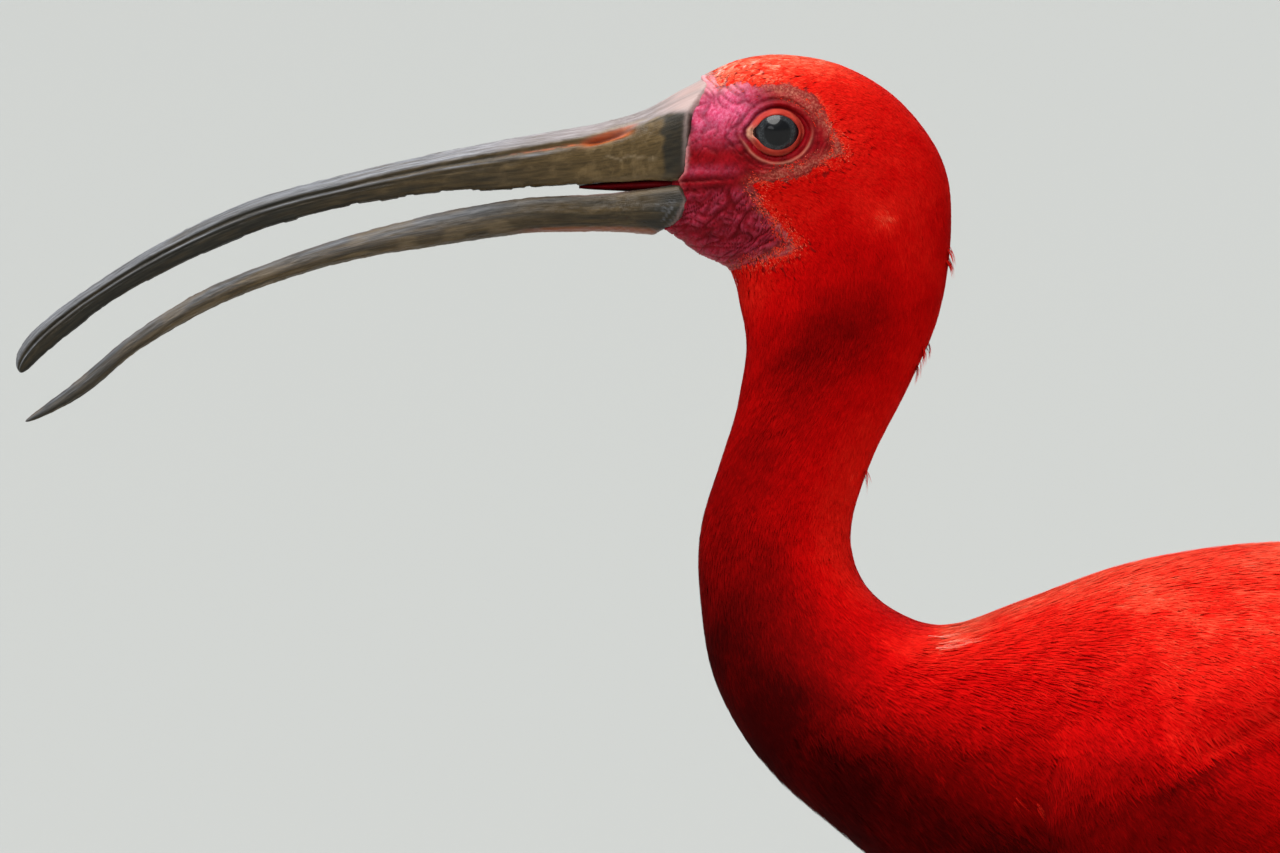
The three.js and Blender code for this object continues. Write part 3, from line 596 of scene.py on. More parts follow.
def insideFace(x, z):
    # signed distance in mm to the edge of the bare face, positive inside
    a = face["edge"]
    b = np.roll(a, -1, axis=0)
    p = stackUp(x, z)[..., None, :]
    ab = b - a
    share = np.clip(((p - a) * ab).sum(-1) / (ab ** 2).sum(-1), 0, 1)
    distance = np.linalg.norm(p - a - share[..., None] * ab, axis=-1).min(-1)
    above = (a[:, 1] > p[..., 1]) != (b[:, 1] > p[..., 1])
    cross = a[:, 0] + (p[..., 1] - a[:, 1]) * ab[:, 0] / np.where(ab[:, 1] == 0, 1e-9, ab[:, 1])
    inside = (above & (p[..., 0] < cross)).sum(-1) % 2 == 1
    return np.where(inside, distance, -distance)


def apertureRadius(turn):
    # the open eye: an oval, drawn out to a corner in front and a little behind
    long, high = face["opening"]
    oval = 1 / np.sqrt((np.cos(turn) / long) ** 2 + (np.sin(turn) / high) ** 2)
    return oval + 0.8 * hill(np.abs(turn), pi - 0.06, 0.2) + 0.2 * hill(turn, 0.05, 0.3)


def pastBill(x, z):
    # distance in mm behind the ragged line where the skin meets the bill
    ragged = 0.12 * grain(z / 0.9, x * 0, 15) + 0.06 * grain(z / 0.3, x * 0, 16)
    return x - np.interp(z, bill["edgeZ"], bill["edgeX"]) + ragged


def eyeDistance(x, z):
    # distance outside the lid's edge, negative in the open eye, and the direction from the eye
    dx = x - face["eye"][0]
    dz = z - face["eye"][1]
    turn = np.arctan2(dz, dx)
    return np.hypot(dx, dz) - apertureRadius(turn), turn


def faceRelief(x, z, bare):
    # how far the bare face stands out in mm, and how deep in a fold or the gape each point is, which is
    # painted as shade:
    # -depth fold + fine grain + swelling of the jaw - gape + lips, with folds that differ by region
    beyond, turn = eyeDistance(x, z)
    ahead = ease(-79, -88, x) * ease(354, 360, z)
    jaw = ease(352.5, 349, z)
    ring = span(beyond, 1.0, 3.5, 5, 11)
    cheek = span(z, 350, 354, 356, 361)
    wx = x + 0.8 * grain(x / 2.9, z / 2.9, 5)
    wz = z + 0.8 * grain(x / 2.9, z / 2.9, 6)
    over = ease(-1.2, 1.2, wz - 367.6 + 0.3 * (wx + 90))
    slant = np.maximum(over * creases(wx, wz, -0.72, 4.8, 1.5, 1),
                       (1 - over) * creases(wx, wz, 0.66, 4.6, 1.4, 11))
    across = np.maximum(creases(wx, wz, 0.5, 5.6, 1.1, 2), 0.5 * creases(wx, wz, 0.85, 3.4, 0.75, 12))
    long = creases(wx, wz, -0.15, 6.4, 1.1, 3)
    rings = hill(grain(turn * 2.8, beyond / 0.75, 4), 0, 0.2)
    net = creases(wx, wz, 0.1, 1.1, 0.6, 8)
    fold = 1.1 * ahead * slant + jaw * np.maximum(across, 0.7 * long)
    fold = fold + 0.75 * ring * rings * (1 - 0.5 * ahead) + 0.45 * cheek * net + 0.25 * net
    fold = np.clip(fold, 0, 1)
    gapeZ = face["gapeHeight"]
    gape = hill(z, gapeZ + 0.05 * (x + 96), 0.36) * ease(-86, -93, x)
    gape = gape + 0.6 * hill(z, gapeZ - 1.7 + 0.10 * (x + 96), 0.3) * ease(-89, -94, x)
    lips = hill(z, gapeZ + 1.2, 0.55) * ease(-88, -94, x) + hill(z, gapeZ - 0.9, 0.45) * ease(-89, -95, x)
    fine = 0.05 * grain(x / 0.55, z / 0.55, 9) + 0.10 * grain(x / 1.3, z / 1.3, 10)
    swell = 0.22 * jaw * grain((wx * 0.8 + wz * 0.6) / 4.5, (wz * 0.8 - wx * 0.6) / 1.3, 13)
    chin = ease(1, 5, z - np.interp(x, [-103, -92, -86], [341, 333, 330]))
    depth = 0.21 + 0.17 * ahead + 0.42 * jaw * chin
    relief = -depth * fold + fine + swell * (0.4 + 0.6 * chin) - 0.5 * gape + 0.26 * lips
    return relief * bare, np.clip(fold * 0.6 + 0.8 * gape, 0, 1) * bare


def chartOf(x, z, start=(2.0, 1.4), limits=(-0.3, 9)):
    # finds station and angle of the left side's point over (x, z), with Newton steps from the start
    t, angle = (np.full(x.shape, value) for value in start)
    for _ in range(14):
        here, dt, da = tangents(onBody, t, angle)
        ex = x - here[..., 0]
        ez = z - here[..., 2]
        det = dt[..., 0] * da[..., 2] - dt[..., 2] * da[..., 0]
        det = np.where(np.abs(det) < 1e-6, 1e-6, det)
        t = np.clip(t + np.clip((ex * da[..., 2] - ez * da[..., 0]) / det, -0.6, 0.6), *limits)
        angle = np.clip(angle + np.clip((dt[..., 0] * ez - dt[..., 2] * ex) / det, -0.4, 0.4), 0.05, 3.09)
    return t, angle


def plainSkin(**marks):
    # the marks of skin with no marking, apart from the ones given
    return {**dict.fromkeys(("rose", "blush", "fold", "lid", "pale", "cream", "under"), 0.0), **marks}


def skinMarks(x, z, bare, fold, lid=0.0, pale=0.0):
    # where the bare skin is rose and where painted highlight lies on it, where folds get painted shade, and
    # where pale stubble edges it
    front = ease(-80, -93, x) * ease(357.5, 368, z)
    blotch = 1 + 0.3 * grain(x / 2.6, z / 2.6, 21) + 0.2 * grain(x / 0.9, z / 0.9, 22)
    rose = 0.95 * front + 0.16 * hill(z, 354.2, 1.2) * ease(-86, -93, x)
    # painted highlight on the jaw's ridges between the folds
    rose = rose + 0.16 * ease(352, 349, z) * (1 - fold) ** 2
    margin = hill(insideFace(x, z), 0.5, 1.7) * (0.7 + 0.3 * grain(x / 1.1, z / 1.1, 23))
    # painted highlight on the top of the bare forehead
    blush = ease(369.5, 374, z) * ease(-85, -94, x) * (0.75 + 0.35 * grain(x / 1.3, z / 1.3, 24))
    return {
        "rose": np.clip(rose * blotch, 0, 1),
        "blush": np.clip(blush, 0, 1),
        "fold": fold * 0.8,
        "lid": lid + 0 * x,
        "pale": np.clip(margin * (0.45 + 0.55 * ease(-88, -80, x)), 0, 1),
        "cream": np.clip(pale + 0 * x, 0, 1),
        "under": 1 - bare,
    }


def buildSkin():
    # the loft with the face's relief; under the plumage it lies lower by the depth of the coat
    rows = np.interp(np.arange(skin["rowAt"][-1] + 1), skin["rowAt"], skin["station"])
    t, angle = ringGrid(rows, skin["columns"])
    outer = onBody(t, angle, 0.0)
    # the loft is carried on in front to reach the edge of the bill
    extra = skin["rowsAhead"]
    ahead = np.linspace(0.5, 0, extra, endpoint=False)[:, None, None]
    outer = np.concatenate([outer[:1] + ahead * (outer[:1] - onBody(1.0, angle[:1], 0.0)), outer])
    t = np.concatenate([np.repeat(t[:1], extra, axis=0), t])
    x, y, z = np.moveaxis(outer, -1, 0)
    bare = ease(-0.8, 0.8, insideFace(x, z))
    brow = ease(3.6, 0.9, t) * ease(1.4, 0.8, fromTop(angle[:1]))
    depth = 0.42 - 0.24 * brow + 0.38 * ease(5, 8, t) + 1.3 * ease(11, 15, t)
    relief, fold = faceRelief(x, z, bare)
    past = pastBill(x, z)
    lip = 0.08 * hill(past, 0.45, 0.4) - 2.0 * ease(0.05, -1.0, past)
    points = outer + normalsOf(outer) * (relief * ease(-0.2, 0.8, past) - (1 - bare) * depth + lip)[..., None]
    # it sinks in behind the lids, and the front end is drawn in behind the bill
    beyond, _ = eyeDistance(x, z)
    socket = ease(4.6, 3.2, beyond) * 0.9 + 6.5 * ease(1.6, -0.6, beyond)
    points[..., 1] -= np.sign(points[..., 1]) * socket * (np.abs(y) > 6)
    throat = points[:1] * np.array([0.4, 0.5, 0.5]) + np.array([-55.8, 0, 178.5])
    marks = skinMarks(x, z, bare, fold)
    marks["cream"] = 0.1 * hill(past, 0.1, 0.3) * ease(349, 355, z)
    marks["blush"] = np.maximum(marks["blush"], 0.45 * hill(past, 0.1, 0.55) * ease(349, 358, z))
    marks = {key: np.concatenate([value[:1], value]) for key, value in marks.items()}
    addTube("skin", np.concatenate([throat, points]), bareSkin, marks,
            nodes=("head", "neck_upper", "neck_lower", "torso"))


def buildLids(side, word):
    # polar rings at distances e from the lid's edge: from behind it, over its rim and folds, out to the face;
    # y goes from the ball to the face's surface, with hills for the rim and folds added
    out = np.concatenate([[-0.95, -0.65, -0.42, -0.25, -0.12, 0], np.linspace(0.12, 3.2, 30),
                          np.linspace(3.4, 7.2, 24)])
    e, phi = np.meshgrid(out, np.linspace(-pi, pi, 168, endpoint=False), indexing="ij")
    radius = apertureRadius(phi) + e
    x = face["eye"][0] + radius * np.cos(phi)
    z = face["eye"][1] + radius * np.sin(phi)
    surface = -onBody(*chartOf(x, z), 0.0)[..., 1]
    fromAxis = np.minimum(np.hypot(x - face["eye"][0], z - face["eye"][1]), 5.3)
    ball = face["ballY"] + np.sqrt(face["ballRadius"] ** 2 - fromAxis ** 2)
    low = ease(0.35, -0.5, np.sin(phi))
    rim = 0.42 * hill(e, 0.5, 0.5) + 0.10 - 1.3 * ease(0.05, -0.8, e)
    groove = -0.22 * hill(e, 1.5, 0.32)
    second = (0.26 * hill(e, 2.75, 0.36) - 0.2 * hill(e, 3.5, 0.4)) * low
    brow = (0.30 * hill(e, 2.4, 0.5) - 0.22 * hill(e, 3.3, 0.35) + 0.16 * hill(e, 4.2, 0.5)) * (1 - low)
    ripple = 0.09 * grain(phi * 5, e / 0.6, 31) * ease(0.2, 1.5, e)
    relief, fold = faceRelief(x, z, np.ones_like(x))
    y = ball + (surface - ball) * ease(0.4, 3.6, e) + rim + groove + second + brow + ripple
    y = y + relief * ease(1.5, 4.5, e) - 0.25 * ease(6.2, 7.2, e)
    front = hill(np.abs(phi), pi - 0.04, 0.26)
    lid = span(e, -1.2, -0.8, 1.05, 1.4) * (1 - front) * (0.75 + 0.25 * grain(phi * 4, e * 2, 33))
    pale = 0.95 * front * span(e, -0.9, -0.2, 0.9, 1.5)
    pale = pale + 0.3 * low * hill(e, 2.75, 0.3) * (1 - 0.6 * front)
    pale = pale + 0.3 * hill(e, 0.95, 0.22) * (0.4 + 0.6 * low)
    # crease: painted shade in the folds round the eye
    crease = hill(e, 1.55, 0.28) * 0.6 + low * hill(e, 3.45, 0.4) * 0.6 + fold * ease(2, 4, e)
    crease = crease + (1 - low) * (0.3 * hill(e, 1.75, 0.3) + 0.4 * hill(e, 3.3, 0.3))
    marks = skinMarks(x, z, np.ones_like(x), np.clip(crease, 0, 1), lid, pale)
    marks["rose"] = marks["rose"] * (1 - 0.6 * ease(4.5, 2.0, e) * low)
    points = stackUp(x, side * y, z)
    faces = gridFaces(*x.shape)
    corner = points.reshape(-1, 3)[faces[len(faces) // 2]]
    if np.cross(corner[1] - corner[0], corner[2] - corner[0])[1] * side < 0:
        faces = faces[:, ::-1]
    addPiece("lids_" + word, points, [faces], bareSkin, marks)


def buildEye(side, word):
    # a ball with the cornea's slight bulge: radius + 0.3 e^-(r / 2.8)^2 along the axis
    polar, around = ringGrid(np.linspace(0.001, pi - 0.001, 60), 72)
    fromAxis = face["ballRadius"] * np.sin(polar)
    outer = np.cos(polar) > 0
    x = face["eye"][0] + fromAxis * np.cos(around)
    z = face["eye"][1] + fromAxis * np.sin(around)
    y = side * (face["ballY"] + face["ballRadius"] * np.cos(polar) + 0.3 * hill(fromAxis, 0, 2.8) * outer)
    ring = np.where(outer, fromAxis, 6)
    addTube("eyeball_" + word, stackUp(x, y, z), eyeball, {"ring": ring}, nodes=("eye_" + word,))


def billPoint(table, t, angle, flatSide):
    # the loft with its cut side made flat: cos(angle) is drawn on to 1 or -1 past about 0.4
    middle, up, half, _ = section(table, t)
    cosine = np.cos(angle) * flatSide
    flat = (cosine + (1 - cosine) * ease(0.3, 0.82, cosine)) * flatSide
    middle = middle + 0.5 * up * flat[..., None]
    return np.stack([middle[..., 0], -half * sideways(angle), middle[..., 1]], -1)


def swollen(points, relief):
    # each point moved by relief along its normal; the sign is 1 if normals point away from the middle line
    normal = normalsOf(points)
    sign = np.sign(((points - points.mean(axis=1, keepdims=True)) * normal).sum(-1).mean())
    return points + normal * (relief * sign)[..., None]


def roundTip(points, t, start, lean):
    # rings past the start shrink by sqrt(1 - s^2) towards a spot between their middle and cutting edge
    half = points.shape[1] // 2
    spot = points.mean(axis=1, keepdims=True) + lean * 0.5 * (points[:, half:half + 1] - points[:, :1])
    s = np.clip((t - start) / (10 - start), 0, 1)
    return spot + (points - spot) * np.sqrt(np.clip(1 - s ** 2, 0.004, 1))[..., None]


def roughHorn(t, down, seed):
    # two sizes of grain, drawn out along the bill
    return grain(t * 10, down * 7, seed) * 0.09 + grain(t * 44, down * 16, seed + 1) * 0.045


def followUv(grid, along, across=(0, 1)):
    # uv map of a grid with one column more: the first pair runs along its rows, the second round it
    rows, cols = grid.shape
    return stackUp(np.linspace(*along, rows)[:, None], np.linspace(*across, cols + 1)[None])


def nostrilPlace(x, z):
    # v square to the nostril's slot in mm, and the slot as e^-(|u / length|^4 + |v / height|^2.4)
    slope = math.radians(bill["nostrilSlope"])
    dx = x - bill["nostril"][0]
    dz = z - bill["nostril"][1]
    u = dx * math.cos(slope) + dz * math.sin(slope)
    v = dz * math.cos(slope) - dx * math.sin(slope)
    return v, np.exp(-(np.abs(u / bill["nostrilLength"]) ** 4 + np.abs(v / bill["nostrilHeight"]) ** 2.4))


def buildUpperBill():
    # the flattened loft plus a relief: grooves, nostril and palate go in, flakes, plate and chips stand out
    rows, cols = bill["upperGrid"]
    t, angle = ringGrid(np.linspace(0, 10, rows), cols)
    points = billPoint(upperBillStations, t, angle, -1.0)
    x, z = points[..., 0], points[..., 2]
    down = fromTop(angle)
    past = pastBill(x, z)
    plate, grooveAt = (np.radians(np.interp(t, *bill[key])) for key in ("plate", "groove"))
    v, slit = nostrilPlace(x, z)
    groove = hill(down, grooveAt, math.radians(6)) * span(t, 1.5, 2.1, 8.8, 10)
    below = hill(down, plate + 0.24, 0.07) * span(t, 2.6, 3.6, 8.5, 10)
    # flakes end in a ragged step along the side, and chips leave the cutting edge uneven
    flakeAt = bill["flakeHeight"] + 0.35 * grain(x / 1.5, x * 0, 43) + 0.2 * grain(x / 0.6, x * 0, 45)
    flake = 0.14 * ease(flakeAt - 0.06, flakeAt + 0.05, z) * span(x, -119, -116, -106, -104)
    chips = 0.35 * np.round(1.4 * grain(x / 4.2, x * 0, 46)) / 1.4
    chips = chips * ease(2.0, 2.35, down) * ease(-117, -122, x)
    palate = 0.9 * ease(math.radians(150), math.radians(168), down) * ease(10, 8, t)
    step = 0.12 * ease(plate - 0.03, plate + 0.03, down) * ease(2.2, 1.7, t)
    relief = flake + step - 0.75 * groove * (0.55 + 0.45 * ease(3, 1.8, t)) - 0.22 * below
    relief = relief - 1.1 * slit - palate + roughHorn(t, down, 41) * ease(0.6, 1.2, t)
    relief = relief + chips * (1 - 0.5 * ease(-180, -220, x))
    relief = relief + 0.75 * ease(-109, -100.5, x) - 2.2 * ease(0.1, 1.3, past)
    points = roundTip(swollen(points, relief), t, 9.45, 0.35)

    # colours by place: band at the base, dark lines of painted shade, painted sky reflection on the ridges,
    # orange slot, pale lines on the side
    streak = grain(x / 5.5, down * 13, 44)
    fine = grain(x / 1.4, down * 26, 47)
    band = ease(-105.6, -104.4, x + 0.9 * grain(down * 5, x * 0, 48)) * ease(plate - 0.02, plate + 0.06, down)
    band = band * ease(367.6, 366.0, z)
    dark = ease(-116, -146, x) * (0.55 + 0.25 * streak) + 0.45 * ease(-150, -192, x)
    dark = np.clip(dark + band * (0.92 + 0.1 * fine), 0, 1)
    # painted shade in the groove and along the side plate's edges
    dark = np.maximum(dark, 0.9 * hill(down, grooveAt, 0.10) * ease(2.6, 3.4, t))
    dark = np.maximum(dark, 0.75 * hill(down, plate + 0.24, 0.10) * ease(2.8, 4, t))
    dark = np.maximum(dark, 0.8 * hill(down, plate - 0.03, 0.045) * ease(1.9, 1.2, t))
    # culmen and middle: painted sky reflection on the ridges
    culmen = ease(plate - 0.02, plate - 0.14, down) * ease(2.4, 1.4, t)
    culmen = np.maximum(culmen, ease(366.0, 367.4, z) * ease(-107, -104, x))
    culmen = np.maximum(culmen, ease(grooveAt - 0.12, grooveAt - 0.34, down) * ease(1.2, 2.2, t))
    culmen = culmen * (0.72 - 0.25 * ease(-150, -200, x) + 0.3 * streak)
    middle = 0.55 * hill(down, plate + 0.02, 0.06) * ease(2.2, 3.0, t) * (0.8 + 0.5 * streak)
    orange = np.clip(1.4 * slit, 0, 1) + 0.85 * hill(v, 0.95, 0.28) * span(x, -124, -118, -112, -109.5)
    seam = hill(down, grooveAt + 0.03, 0.06) * span(x, -142, -128, -121, -112)
    orange = np.clip(orange + 0.8 * seam * np.clip(0.6 + 0.9 * fine, 0, 1), 0, 1)
    line = 0.75 * hill(z, flakeAt, 0.24) * span(x, -118.5, -116, -106.5, -105)
    line = line + 0.55 * span(down, 2.18, 2.34, 2.45, 2.62) * ease(-124, -116, x) * (0.6 + 0.5 * fine)
    line = line + 0.6 * hill(down, plate - 0.05, 0.03) * ease(1.65, 1.0, t) * np.clip(0.5 + fine, 0, 1)
    line = line + 0.5 * hill(v, 1.5, 0.2) * span(x, -122, -119, -110, -107)
    marks = {
        "dark": dark,
        "ridge": np.clip(np.maximum(culmen, middle), 0, 1),
        "orange": orange,
        "line": np.clip(line, 0, 1),
        # pale edge at the skin, and painted highlight along the culmen
        "rim": np.maximum(0.4 * hill(past, -0.2, 0.5) * ease(2.4, 1.8, down),
                          culmen * (0.85 * ease(-109, -99, x) + 0.4 * ease(-160, -112, x))),
        # painted shade in the nostril and under the palate
        "pit": np.clip(0.75 * hill(v, 0.45, 0.3) * slit, 0, 1) + 0.95 * ease(2.55, 2.75, down),
    }
    addTube("upper_bill", points, billHorn, marks, followUv(t, (0, 15.5)), ("bill_upper",))


def buildLowerBill():
    # the flattened loft less its trough, a groove and worn patches
    rows, cols = bill["lowerGrid"]
    t, angle = ringGrid(np.linspace(0, 10, rows), cols)
    points = billPoint(lowerBillStations, t, angle, 1.0)
    x, z = points[..., 0], points[..., 2]
    down = fromTop(angle)
    past = pastBill(x, z)
    trough = ease(0.52, 0.3, down) * ease(10, 8.5, t)
    groove = 0.2 * hill(down, 2.0, 0.09) * span(t, 0.8, 1.5, 6, 8)
    worn = ease(-0.1, 0.7, grain(x / 5.0, down * 2.2, 54)) * ease(-128, -140, x) * 0.14
    relief = -trough - groove - worn + roughHorn(t, down, 51) * ease(0.4, 1.0, t)
    relief = relief + 0.35 * ease(-109, -100.5, x) - 2.4 * ease(0.0, 1.1, past)
    points = roundTip(swollen(points, relief), t, 9.2, -0.3)

    # colours by place: dark towards base and tip, blue scratches, painted sky reflection on the ridge, pale
    # rim with painted highlight, worn patches, painted shade in the trough
    streak = grain(x / 6.0, down * 11, 53)
    fine = grain(x / 1.3, down * 22, 55)
    dark = 0.62 + 0.25 * streak + 0.3 * ease(-112, -103.5, x) - 0.2 * ease(-135, -160, x)
    dark = dark + 0.4 * ease(-190, -235, x) + 0.35 * ease(1.5, 0.8, down) * ease(-112, -150, x)
    scratch = creases(x, z, 0.9, 2.2, 0.5, 56) * span(x, -107.5, -105, -101.5, -99.5)
    ridge = 0.35 * hill(down, 1.0, 0.1) * ease(-110, -150, x) * (0.6 + 0.5 * streak)
    ridge = ridge + 0.3 * ease(-125, -160, x) * ease(2.3, 1.2, down) * (0.8 + 0.4 * streak)
    ridge = ridge + 0.22 * scratch * (down > 1.2)
    # painted highlight on the inner rim, and the pale edge at the skin
    rim = hill(down, 0.62, 0.16) * (0.9 * ease(-111, -115, x) * ease(-127, -122, x) + 0.2)
    rim = rim + 0.35 * hill(past, -0.2, 0.4) * span(down, 0.9, 1.2, 2.0, 2.4)
    line = 2.6 * worn * (0.7 + 0.3 * fine) + 0.4 * hill(down, 0.92, 0.06) * ease(-118, -110, x)
    marks = {
        "dark": np.clip(dark, 0, 1),
        "ridge": np.clip(ridge, 0, 1),
        "orange": 0.35 * ease(2.3, 2.6, down) * ease(-104, -108, x) * ease(-140, -128, x),
        "rim": np.clip(rim, 0, 1),
        "line": np.clip(line, 0, 1),
        # painted shade in the trough
        "pit": 0.85 * ease(0.55, 0.4, down),
    }
    addTube("lower_bill", points, billHorn, marks, followUv(t, (20, 35)), ("bill_lower",))


def buildMouthLining():
    # the lining that shows between the bills near the gape, dark with painted shade: a flat tube, half width
    # times sin^0.25
    share, turn = ringGrid(np.linspace(0, 1, 60), 40)
    swell = np.sin(pi * np.clip(share, 0.08, 0.985)) ** 0.25
    lining = np.stack([-96 - 27 * share, (6.6 - 3.6 * share) * swell * np.sin(turn),
                       351.7 - 0.6 * share + (1.9 - 1.2 * share) * swell * np.cos(turn)], -1)
    marks = plainSkin(fold=0.75 + 0.2 * grain(share * 20, turn * 3, 57))
    addTube("mouth_lining", lining, bareSkin, marks)


# Tufts of the coat, in mm: blades is how many a tuft has, bends where their sides have points.
tuftDefaults = {
    "blades": 8,
    "bends": (0.0, 0.5),
    "stray": 0.12,
    "fill": 1.0,
    "curl": 0.06,
    "rough": 0.1,
    "tilt": 0.012,
    "varied": 0.025,
    "paintedRootShade": 0.06,
    "patch": 0.003,
}


def bladeFaces(count, rings):
    # strips of quads up each blade and a triangle at its tip, for blades of 2 rings + 1 points
    size = 2 * rings + 1
    base = (np.arange(count) * size)[:, None]
    strips = [base + np.array([2 * k, 2 * k + 1, 2 * k + 3, 2 * k + 2]) for k in range(rings - 1)]
    quads = np.concatenate(strips) if strips else np.zeros((0, 4), int)
    return quads, base + np.array([size - 3, size - 2, size - 1])


def addTufts(name, place, t, angle, sizes, tone, stations=(0, 22), heading=0.0):
    # a tuft is a fan of pointed blades that starts at a root on the chart and follows the surface:
    # along = length s, across = spread b (0.35 + 0.65 s), height = -depth + (depth + lift) s^0.8
    n = len(t)
    sizes = {**tuftDefaults, **sizes}
    blades, bends = sizes["blades"], sizes["bends"]
    length, width, depth, lift = (np.broadcast_to(np.asarray(sizes[key], float), n)[:, None, None, None]
                                  for key in ("length", "width", "depth", "lift"))
    here, dt, da = tangents(place, t, angle)
    perStation, perAngle = (np.linalg.norm(step, axis=-1)[:, None, None, None] for step in (dt, da))
    heading = heading * np.where(angle % (2 * pi) < pi, 1, -1) + sizes["stray"] * bell(n)
    b = np.linspace(-1, 1, blades)[None, :, None, None]
    b = b + dice.uniform(-0.6, 0.6, (n, blades, 1, 1)) / blades
    s = np.array([*bends, 1.0])[None, None, :, None]
    edge = np.array([-1.0, 1.0])[None, None, None, :]
    along = length * (1 - 0.28 * b ** 2) * dice.uniform(0.8, 1.06, (n, blades, 1, 1)) * s
    thin = width / blades * sizes["fill"] * np.where(s < 1, 1 - 0.35 * s, 0.02)
    sway = sizes["curl"] * bell(n, blades, 1, 1)
    across = 0.5 * width * b * (0.35 + 0.65 * s ** 0.9) + edge * thin / 2 * 1.7 + sway * along * s
    c, d = (turned(heading)[:, None, None, None] for turned in (np.cos, np.sin))
    tt = t[:, None, None, None] + (along * c - across * d) / perStation
    aa = angle[:, None, None, None] + (along * d + across * c) / perAngle
    rough = sizes["rough"] * bell(n, blades, 1, 1) * s
    tilt = sizes["tilt"] * bell(n, blades, 1, 1) * edge
    height = -depth + (depth + lift) * s ** 0.8 - 0.06 * width * b ** 2 * s + rough + tilt
    points = place(*np.broadcast_arrays(tt, aa, height))
    # two points at each bend and one at the tip
    rings = len(bends)
    points = np.concatenate([points[:, :, :rings].reshape(n, blades, -1, 3), points[:, :, rings, :1]], axis=2)
    size = points.shape[2]
    quads, tips = bladeFaces(n * blades, rings)
    flat = points.reshape(-1, 3)
    normal = np.cross(flat[tips[:, 1]] - flat[tips[:, 0]], flat[tips[:, 2]] - flat[tips[:, 0]])
    out = here - place(t, angle, -20.0)
    if (normal.reshape(n, blades, 3) * out[:, None]).sum(-1).mean() < 0:
        quads = quads[:, ::-1]
        tips = tips[:, ::-1]
    share = np.concatenate([np.repeat(np.array(bends), 2), [1.0]])
    # roots darker and tips lighter: painted shade where the tufts cover each other
    shade = (tone[:, None] + sizes["varied"] * bell(n, blades))[..., None] + sizes["paintedRootShade"] * (share - 0.6)
    # in the OFBake uv map each tuft has a small patch at its root's place on the chart, with a margin round
    # all
    patch = sizes["patch"]
    u = (angle / (2 * pi)) % 1.0 * 0.985 + 0.006
    v = (t - stations[0]) / (stations[1] - stations[0]) * 0.985 + 0.006
    bb = b[..., 0] * 0.5 + 0.05 * np.resize([-1.0, 1.0], size)
    baked = stackUp(u[:, None, None] + patch * bb, v[:, None, None] + patch * (share - 0.5)).reshape(-1, 2)
    # strands run on from a random place, in cm
    shift = dice.uniform(0, 9, (2, n, 1, 1))
    strand = stackUp(shift[0] + width[:, :, 0] / 10 * bb, shift[1] + length[:, :, 0] / 10 * share)
    strand = strand.reshape(-1, 2)
    addPiece(name, points, [quads, tips], plumage, {"tone": shade},
             {"OFBake": [baked[quads], baked[tips]], "follow": [strand[quads], strand[tips]]})


def scatter(count, tRange, angleRange=(0, 2 * pi), place=onBody, seed=0.0):
    # an even quasi-random spread: steps of 1 / 1.3247 and its square, thinned where the chart is narrow
    k = np.arange(1, count * 3)
    t = between(tRange, (0.5 + seed + k * 0.7548776662) % 1)
    angle = between(angleRange, (0.5 + seed + k * 0.5698402910) % 1)
    here, dt, da = tangents(place, t, angle)
    area = np.linalg.norm(np.cross(dt, da), axis=-1)
    order = np.flatnonzero(dice.uniform(0, 1, len(k)) < area / area.max())[:count]
    return t[order], angle[order], here[order]


def bodyToneWithPaintedLight(t, angle, here):
    # regional colour: painted highlight on crown, cheek and back, deep red on the nape, painted shade on
    # breast and belly
    down = fromTop(angle)
    x, y, z = here.T
    # painted highlight: pale strands on the shoulder in front of the wing
    strands = np.maximum(0, grain((x + z) / 1.1, (x - z) / 9, 63))
    # painted highlight on crown, cheek, the back of head and neck and the back; painted shade under the chin,
    # down the neck's front and on breast and belly
    return 0.47 + sum((
        0.22 * hill(down, 0, 1.05) * ease(4.8, 2.6, t),
        -0.05 * span(t, 7.0, 9.5, 11.5, 13.5) * hill(down, 2.1, 0.9),
        0.10 * hill(t, 5.6, 1.4) * hill(down, 1.1, 0.6),
        0.13 * hill(t, 9.2, 1.6) * ease(1.4, 0.5, down),
        0.05 * hill(t, 3.2, 1.6) * hill(down, 1.75, 0.6),
        -0.25 * hill(t, 6.5, 1.2) * hill(down, 1.75, 0.8),
        -0.20 * hill(t, 11.3, 1.5) * ease(0.8, 1.7, down),
        0.27 * ease(11.1, 13.8, t) * ease(1.3, 0.35, down) * (1 - 0.6 * ease(16.8, 20, t)),
        -0.12 * hill(t, 9.5, 2.2) * ease(1.2, 2.4, down),
        -0.44 * ease(10.0, 13.5, t) * ease(1.3, 2.2, down),
        0.18 * ease(15.8, 18.2, t) * ease(1.3, 2.2, down),
        0.04 * grain((x + 0.5 * y) / 11, (z + 0.8 * y) / 11, 61),
        0.02 * grain((x + y) / 3, (z + y) / 3, 62),
        0.32 * strands * hill(x, -19, 8) * hill(z, 236.5, 4.5),
        0.08 * hill(x, -0.5, 3.5) * hill(z, 238, 3.5),
        0.19 * hill(x, -49, 5) * hill(z, 256.5, 4.5),
    ))


